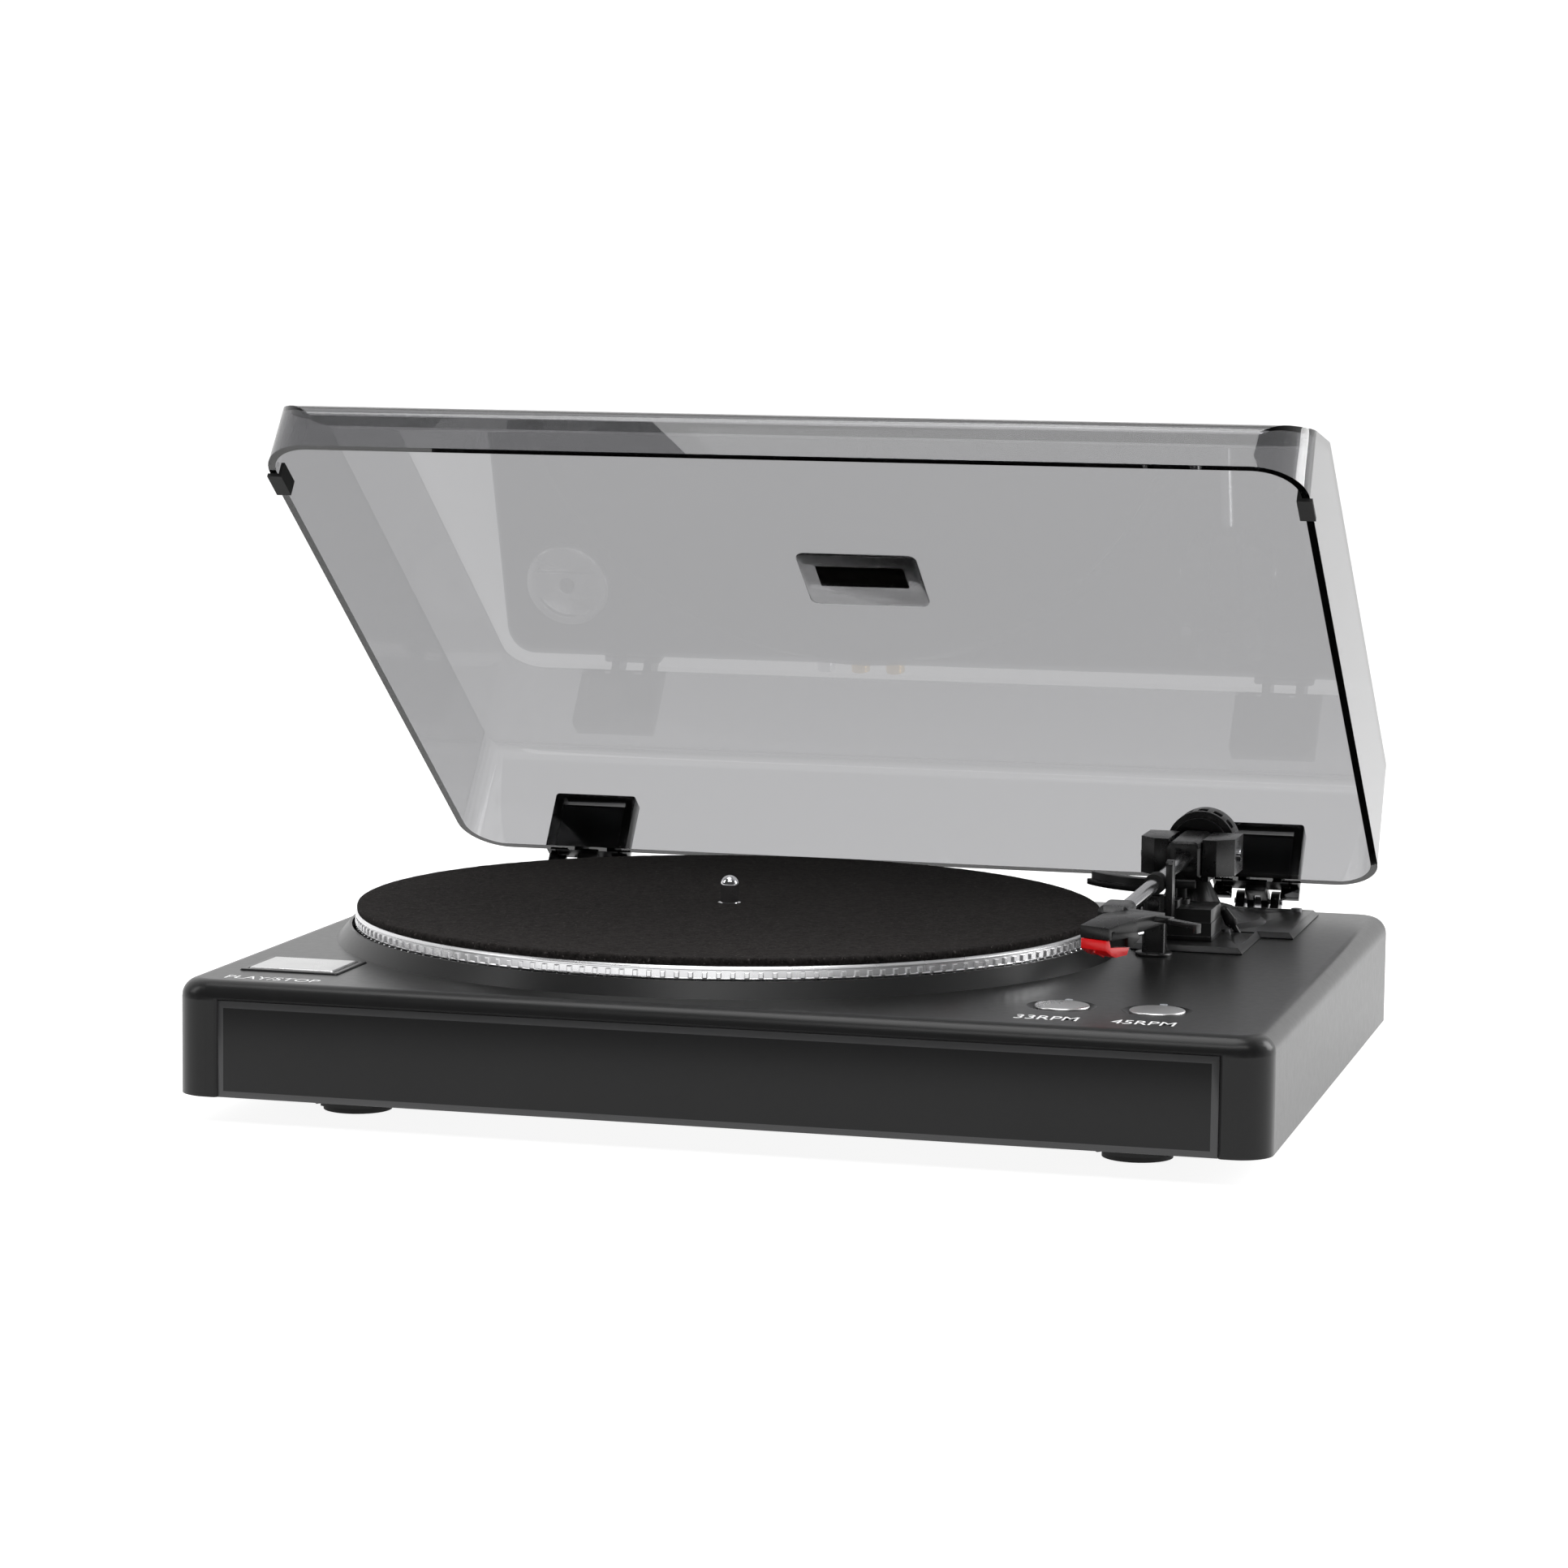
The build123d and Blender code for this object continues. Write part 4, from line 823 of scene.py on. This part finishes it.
@dataclass
class PlatterUnit(SubAssembly):
    """The turned wheel, its dotted rim, the felt mat and the spindle."""

    radius: float = 147.8 * MM
    inner: float = 143.8 * MM
    height: float = 14.2 * MM
    floor: float = 3.4 * MM
    dot_count: int = 180
    drive_radius: float = 85.0 * MM
    drive_wall: float = 3.0 * MM
    drive_height: float = 12.0 * MM
    hub_radius: float = 14.0 * MM
    hub_height: float = 8.0 * MM
    lip_drop: float = -4.35 * MM
    band_depth: float = 0.65 * MM
    bore_gap: float = 0.00002
    wheel_steps: int = 256
    stud_size: Point = (0.8 * MM, 1.9 * MM, 2.4 * MM)
    stud_out: float = 0.15 * MM
    stud_rise: float = 1.1 * MM
    stud_inset: float = 0.3 * MM
    stud_crown: float = 0.25 * MM
    dot_radius: float = 0.6 * MM
    dot_out: float = 0.1 * MM
    dot_drop: float = 1.4 * MM
    mat_hole: float = 4.75 * MM
    mat_rings: int = 46
    mat_steps: int = 384
    nap_size: float = 0.0035
    nap_height: float = 0.00022

    def build(self) -> None:
        """Makes the wheel, its dots and the mat."""
        self.dress("platter_spindle")
        self.wheel()
        self.dots()
        self.mat()

    def centre(self) -> Vector:
        """Gives the point on the axis at the wheel's top."""
        where = middle_of("platter")
        return Vector((where.x, where.y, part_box("platter")[1][2]))

    def wheel(self) -> None:
        """Spins the wheel's section, with beads above and below the dotted band."""
        r, h = self.radius, self.height
        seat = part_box("platter_spindle")
        bore = (seat[1][0] - seat[0][0]) / 2 + self.bore_gap
        band, lip = r - self.band_depth, self.lip_drop
        profile = [
            (bore, 0), (r - 1.6 * MM, 0), (r - 0.85 * MM, 0), (r - 0.08 * MM, -0.72 * MM),
            (r, -0.85 * MM), (r, -1.25 * MM), (r - 0.1 * MM, -1.42 * MM),
            (band, -1.55 * MM), (band, -3.0 * MM), (band, lip + 0.15 * MM),
            (r - 0.2 * MM, lip), (r - 0.05 * MM, lip - 0.2 * MM), (r - 0.2 * MM, lip - 0.4 * MM),
            (band, lip - 0.5 * MM), (band, -7.9 * MM), (r - 0.05 * MM, -8.6 * MM), (r, -9.2 * MM),
            (r - 0.7 * MM, -9.7 * MM), (r - 0.7 * MM, -h + 0.5 * MM), (r - 1.2 * MM, -h),
            (self.inner + 0.3 * MM, -h), (self.inner, -h + 0.3 * MM), (self.inner, -self.floor),
            (self.drive_radius, -self.floor), (self.drive_radius, -self.floor - self.drive_height),
            (self.drive_radius - self.drive_wall, -self.floor - self.drive_height),
            (self.drive_radius - self.drive_wall, -self.floor), (self.hub_radius, -self.floor),
            (self.hub_radius, -self.floor - self.hub_height), (bore, -self.floor - self.hub_height),
        ]
        piece = Workbench.turned("platter_wheel", profile, tuple(self.centre()), self.wheel_steps)
        Workbench.smooth(piece, 30.0)
        self.finish(piece, "platter_silver", "platter_unit")
        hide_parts("platter")

    def dots(self) -> None:
        """Sets a row of raised studs on the rim's lower bead, and small dots below it."""
        centre = self.centre()
        band = self.radius - self.band_depth
        on_rim = Vector((band + self.stud_out, 0, self.lip_drop + self.stud_rise))
        stud = Workbench.cube("stud", tuple(centre + on_rim), self.stud_size)
        Workbench.select_faces(stud, lambda face: face.normal.x > 0.9)
        bpy.ops.mesh.inset(thickness=self.stud_inset, depth=self.stud_crown)
        bpy.ops.object.mode_set(mode="OBJECT")
        Workbench.clear()
        under_lip = Vector((band + self.dot_out, 0, self.lip_drop - self.dot_drop))
        bpy.ops.mesh.primitive_uv_sphere_add(segments=8, ring_count=5, radius=self.dot_radius,
                                             location=centre + under_lip)
        dot = bpy.context.active_object
        Workbench.settle(dot)
        for piece in (stud, dot):
            Workbench.around(piece, self.dot_count, tuple(centre))
        piece = Workbench.join("platter_dots", (stud, dot))
        Workbench.smooth(piece, 35.0)
        self.finish(piece, "platter_silver", "platter_unit")

    def mat(self) -> None:
        """Makes the felt mat, with a soft edge and an uneven nap."""
        low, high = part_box("platter_mat")
        where = (Vector(low) + Vector(high)) / 2
        r = (high[0] - low[0]) / 2
        thick = high[2] - low[2]
        hole = self.mat_hole
        rings = self.mat_rings
        top = [(hole + (r - 0.9 * MM - hole) * i / rings, thick - 0.12 * MM)
               for i in range(rings + 1)]
        profile = top + [(r - 0.3 * MM, thick - 0.4 * MM), (r - 0.05 * MM, thick - 1.0 * MM),
                         (r, thick / 2), (r - 0.2 * MM, 0.3 * MM), (r - 0.8 * MM, 0.0),
                         (hole, 0.0)]
        piece = Workbench.turned("felt_mat", profile, (where.x, where.y, low[2]), self.mat_steps)
        nap = bpy.data.textures.new("nap", "CLOUDS")
        nap.noise_scale = self.nap_size
        nap.noise_depth = 3
        modifier = piece.modifiers.new("nap", "DISPLACE")
        modifier.texture = nap
        modifier.texture_coords = "LOCAL"
        modifier.strength = self.nap_height
        modifier.mid_level = 0.6
        modifier.direction = "Z"
        Workbench.apply(piece)
        Workbench.smooth(piece, 60.0)
        self.finish(piece, "felt", "platter_unit")
        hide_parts("platter_mat")


@dataclass
class Tonearm(SubAssembly):
    """The arm from its base on the deck to the stylus."""

    rounded: tuple[tuple[str, Edges], ...] = (
        ("tonearm_base", Edges.CRISP), ("pivot_pedestal", Edges.CRISP),
        ("lift_housing", Edges.FINE), ("lift_bar", Edges.FINE), ("cue_lever", Edges.CRISP),
        ("arm_rest", Edges.FINE), ("rest_clip", Edges.CRISP), ("gimbal_yoke", Edges.SOFT),
        ("arm_block", Edges.FINE), ("weight_bush", Edges.CRISP), ("counterweight", Edges.FINE),
        ("weight_dial", Edges.FINE), ("headshell", Edges.CRISP), ("cartridge_body", Edges.FINE),
        ("stylus_holder", Edges.FINE),
    )

    def build(self) -> None:
        """Rounds the arm's blocks and dresses the rest."""
        self.dress("cartridge_pins", "gimbal_pivots", "arm_tube", "rest_collar")
        for node, edges in self.rounded:
            self.softened(node, edges)


@dataclass
class Cover(SubAssembly):
    """The clear smoke cover on its two sprung hinges."""

    window_size: Point = (0.0364, 0.0147, 0.0006)
    window_round: float = 0.0001
    window_above: float = 0.0006
    window_shift: float = -0.002

    def build(self) -> None:
        """Dresses the cover, its badge and its hinges."""
        self.dress("dust_cover", "hinge_pins", "hinge_springs", "cover_bumpers")
        self.softened("hinge_bases", Edges.FINE)
        self.softened("hinge_leaves", Edges.FINE)
        self.softened("hinge_sockets", Edges.FINE, look="deep_smoke")
        self.softened("cover_badge", Edges.CRISP)
        self.window()

    def window(self) -> None:
        """Lays the dark window on the badge."""
        source = frame["nodes"]["cover_badge"]
        normal = max((p.normal * p.area for p in source.data.polygons if p.normal.z > 0.4),
                     key=lambda n: n.length).normalized()
        centre = middle_of("cover_badge") + normal * self.window_above
        across = Vector((1, 0, 0))
        up = normal.cross(across)
        turn = Matrix((across, up, normal)).transposed().to_4x4()
        piece = Workbench.cube("badge_window", (0, 0, 0), self.window_size)
        Workbench.bevel(piece, self.window_round)
        piece.matrix_world = Matrix.Translation(centre + up * self.window_shift) @ turn
        Workbench.settle(piece)
        self.finish(piece, "badge_grey", "cover", "badge_window")


# ---------------------------------------------------------------- studio


@dataclass
class Studio:
    """The floor, the lights and the camera."""

    lens: float = 103.04
    place: Point = (0.43132, -1.70675, 0.31525)
    yaw: float = 14.736
    pitch: float = 6.464
    roll: float = 0.681
    floor_width: float = 60.0
    floor_grey: float = 0.4
    floor_light: float = 0.9
    far_clip: float = 50.0
    wall: tuple[tuple[str, float], ...] = (
        ("From Min", -0.35), ("From Max", 0.55), ("To Min", 0.06), ("To Max", 1.1))

    def build(self) -> None:
        """Sets up the whole studio."""
        self.floor()
        self.room()
        self.lights()
        self.camera()
        bpy.context.scene.view_settings.view_transform = "Standard"

    def floor(self) -> None:
        """Lays a plain pale floor, a little lit from below like a light table."""
        Workbench.clear()
        bpy.ops.mesh.primitive_plane_add(size=self.floor_width, location=(0, 0, 0))
        floor = bpy.context.active_object
        floor.name = "floor"
        board = NodeBoard("pale_floor")
        grey = self.floor_grey
        board.fix(Base_Color=(grey, grey, grey, 1), Roughness=0.95, Specular_IOR_Level=0.0,
                  Emission_Color=(1, 1, 1, 1), Emission_Strength=self.floor_light)
        floor.data.materials.append(board.material)

    def room(self) -> None:
        """Surrounds the set with a white wall at the back that falls off towards the front."""
        world = bpy.data.worlds.new("studio_room")
        world.use_nodes = True
        tree = world.node_tree
        background = tree.nodes["Background"]
        coords = tree.nodes.new("ShaderNodeTexCoord")
        split = tree.nodes.new("ShaderNodeSeparateXYZ")
        ramp = tree.nodes.new("ShaderNodeMapRange")
        ramp.interpolation_type = "SMOOTHSTEP"
        for name, value in self.wall:
            ramp.inputs[name].default_value = value
        tree.links.new(coords.outputs["Generated"], split.inputs["Vector"])
        tree.links.new(split.outputs["Y"], ramp.inputs["Value"])
        tree.links.new(ramp.outputs["Result"], background.inputs["Strength"])
        background.inputs["Color"].default_value = (1, 1, 1, 1)
        bpy.context.scene.world = world

    def area(self, name: str, place: Point, aim: Point, size: tuple[float, float],
             power: float) -> None:
        """Adds a soft box that faces a point.

        Args:
            name: The light's name.
            place: Where it stands.
            aim: The point it faces.
            size: Its width and height.
            power: Its power in watts.
        """
        data = bpy.data.lights.new(name, "AREA")
        data.shape = "RECTANGLE"
        data.size, data.size_y = size[0], size[1]
        data.energy = power
        lamp = bpy.data.objects.new(name, data)
        bpy.context.scene.collection.objects.link(lamp)
        lamp.location = place
        lamp.rotation_euler = (Vector(aim) - Vector(place)).to_track_quat("-Z", "Y").to_euler()

    def lights(self) -> None:
        """Sets soft boxes overhead, before the case and low at its two sides."""
        self.area("overhead", (-0.1, -0.15, 1.5), (0, -0.05, 0), (1.1, 0.9), 13)
        self.area("front_top", (0.3, -1.1, 1.35), (0, 0, 0.05), (1.4, 0.35), 8)
        self.area("right_floor", (0.75, 0.3, 0.32), (0.6, 0.15, 0), (0.3, 0.5), 3)
        self.area("left_edge", (-1.3, -0.5, 0.9), (0, -0.1, 0.05), (0.3, 0.9), 4)

    def camera(self) -> None:
        """Places the camera at the product's usual three-quarter angle."""
        yaw, pitch, roll = (math.radians(a) for a in (self.yaw, self.pitch, self.roll))
        ahead = Vector((-math.sin(yaw) * math.cos(pitch), math.cos(yaw) * math.cos(pitch),
                        -math.sin(pitch)))
        right = Vector((math.cos(yaw), math.sin(yaw), 0))
        up = right.cross(ahead)
        rolled_right = right * math.cos(roll) + up * math.sin(roll)
        rolled_up = rolled_right.cross(ahead)
        data = bpy.data.cameras.new("camera")
        data.lens = self.lens
        data.sensor_width = 36.0
        data.clip_end = self.far_clip
        camera = bpy.data.objects.new("camera", data)
        bpy.context.scene.collection.objects.link(camera)
        turn = Matrix((rolled_right, rolled_up, -ahead)).transposed().to_4x4()
        camera.matrix_world = Matrix.Translation(self.place) @ turn
        bpy.context.scene.camera = camera


def main() -> None:
    """Builds every sub-assembly in order, then the studio around them."""
    logging.basicConfig(level=logging.INFO, format="%(name)s: %(message)s")
    finishes = FinishShelf()
    for kind in (Plinth, Controls, PlatterUnit, Tonearm, Cover):
        part = kind(finishes)
        part.build()
        for piece in part.pieces:
            log.info("%s: %s built", kind.__name__, piece)
    Studio().build()


if __name__ == "__main__":
    main()
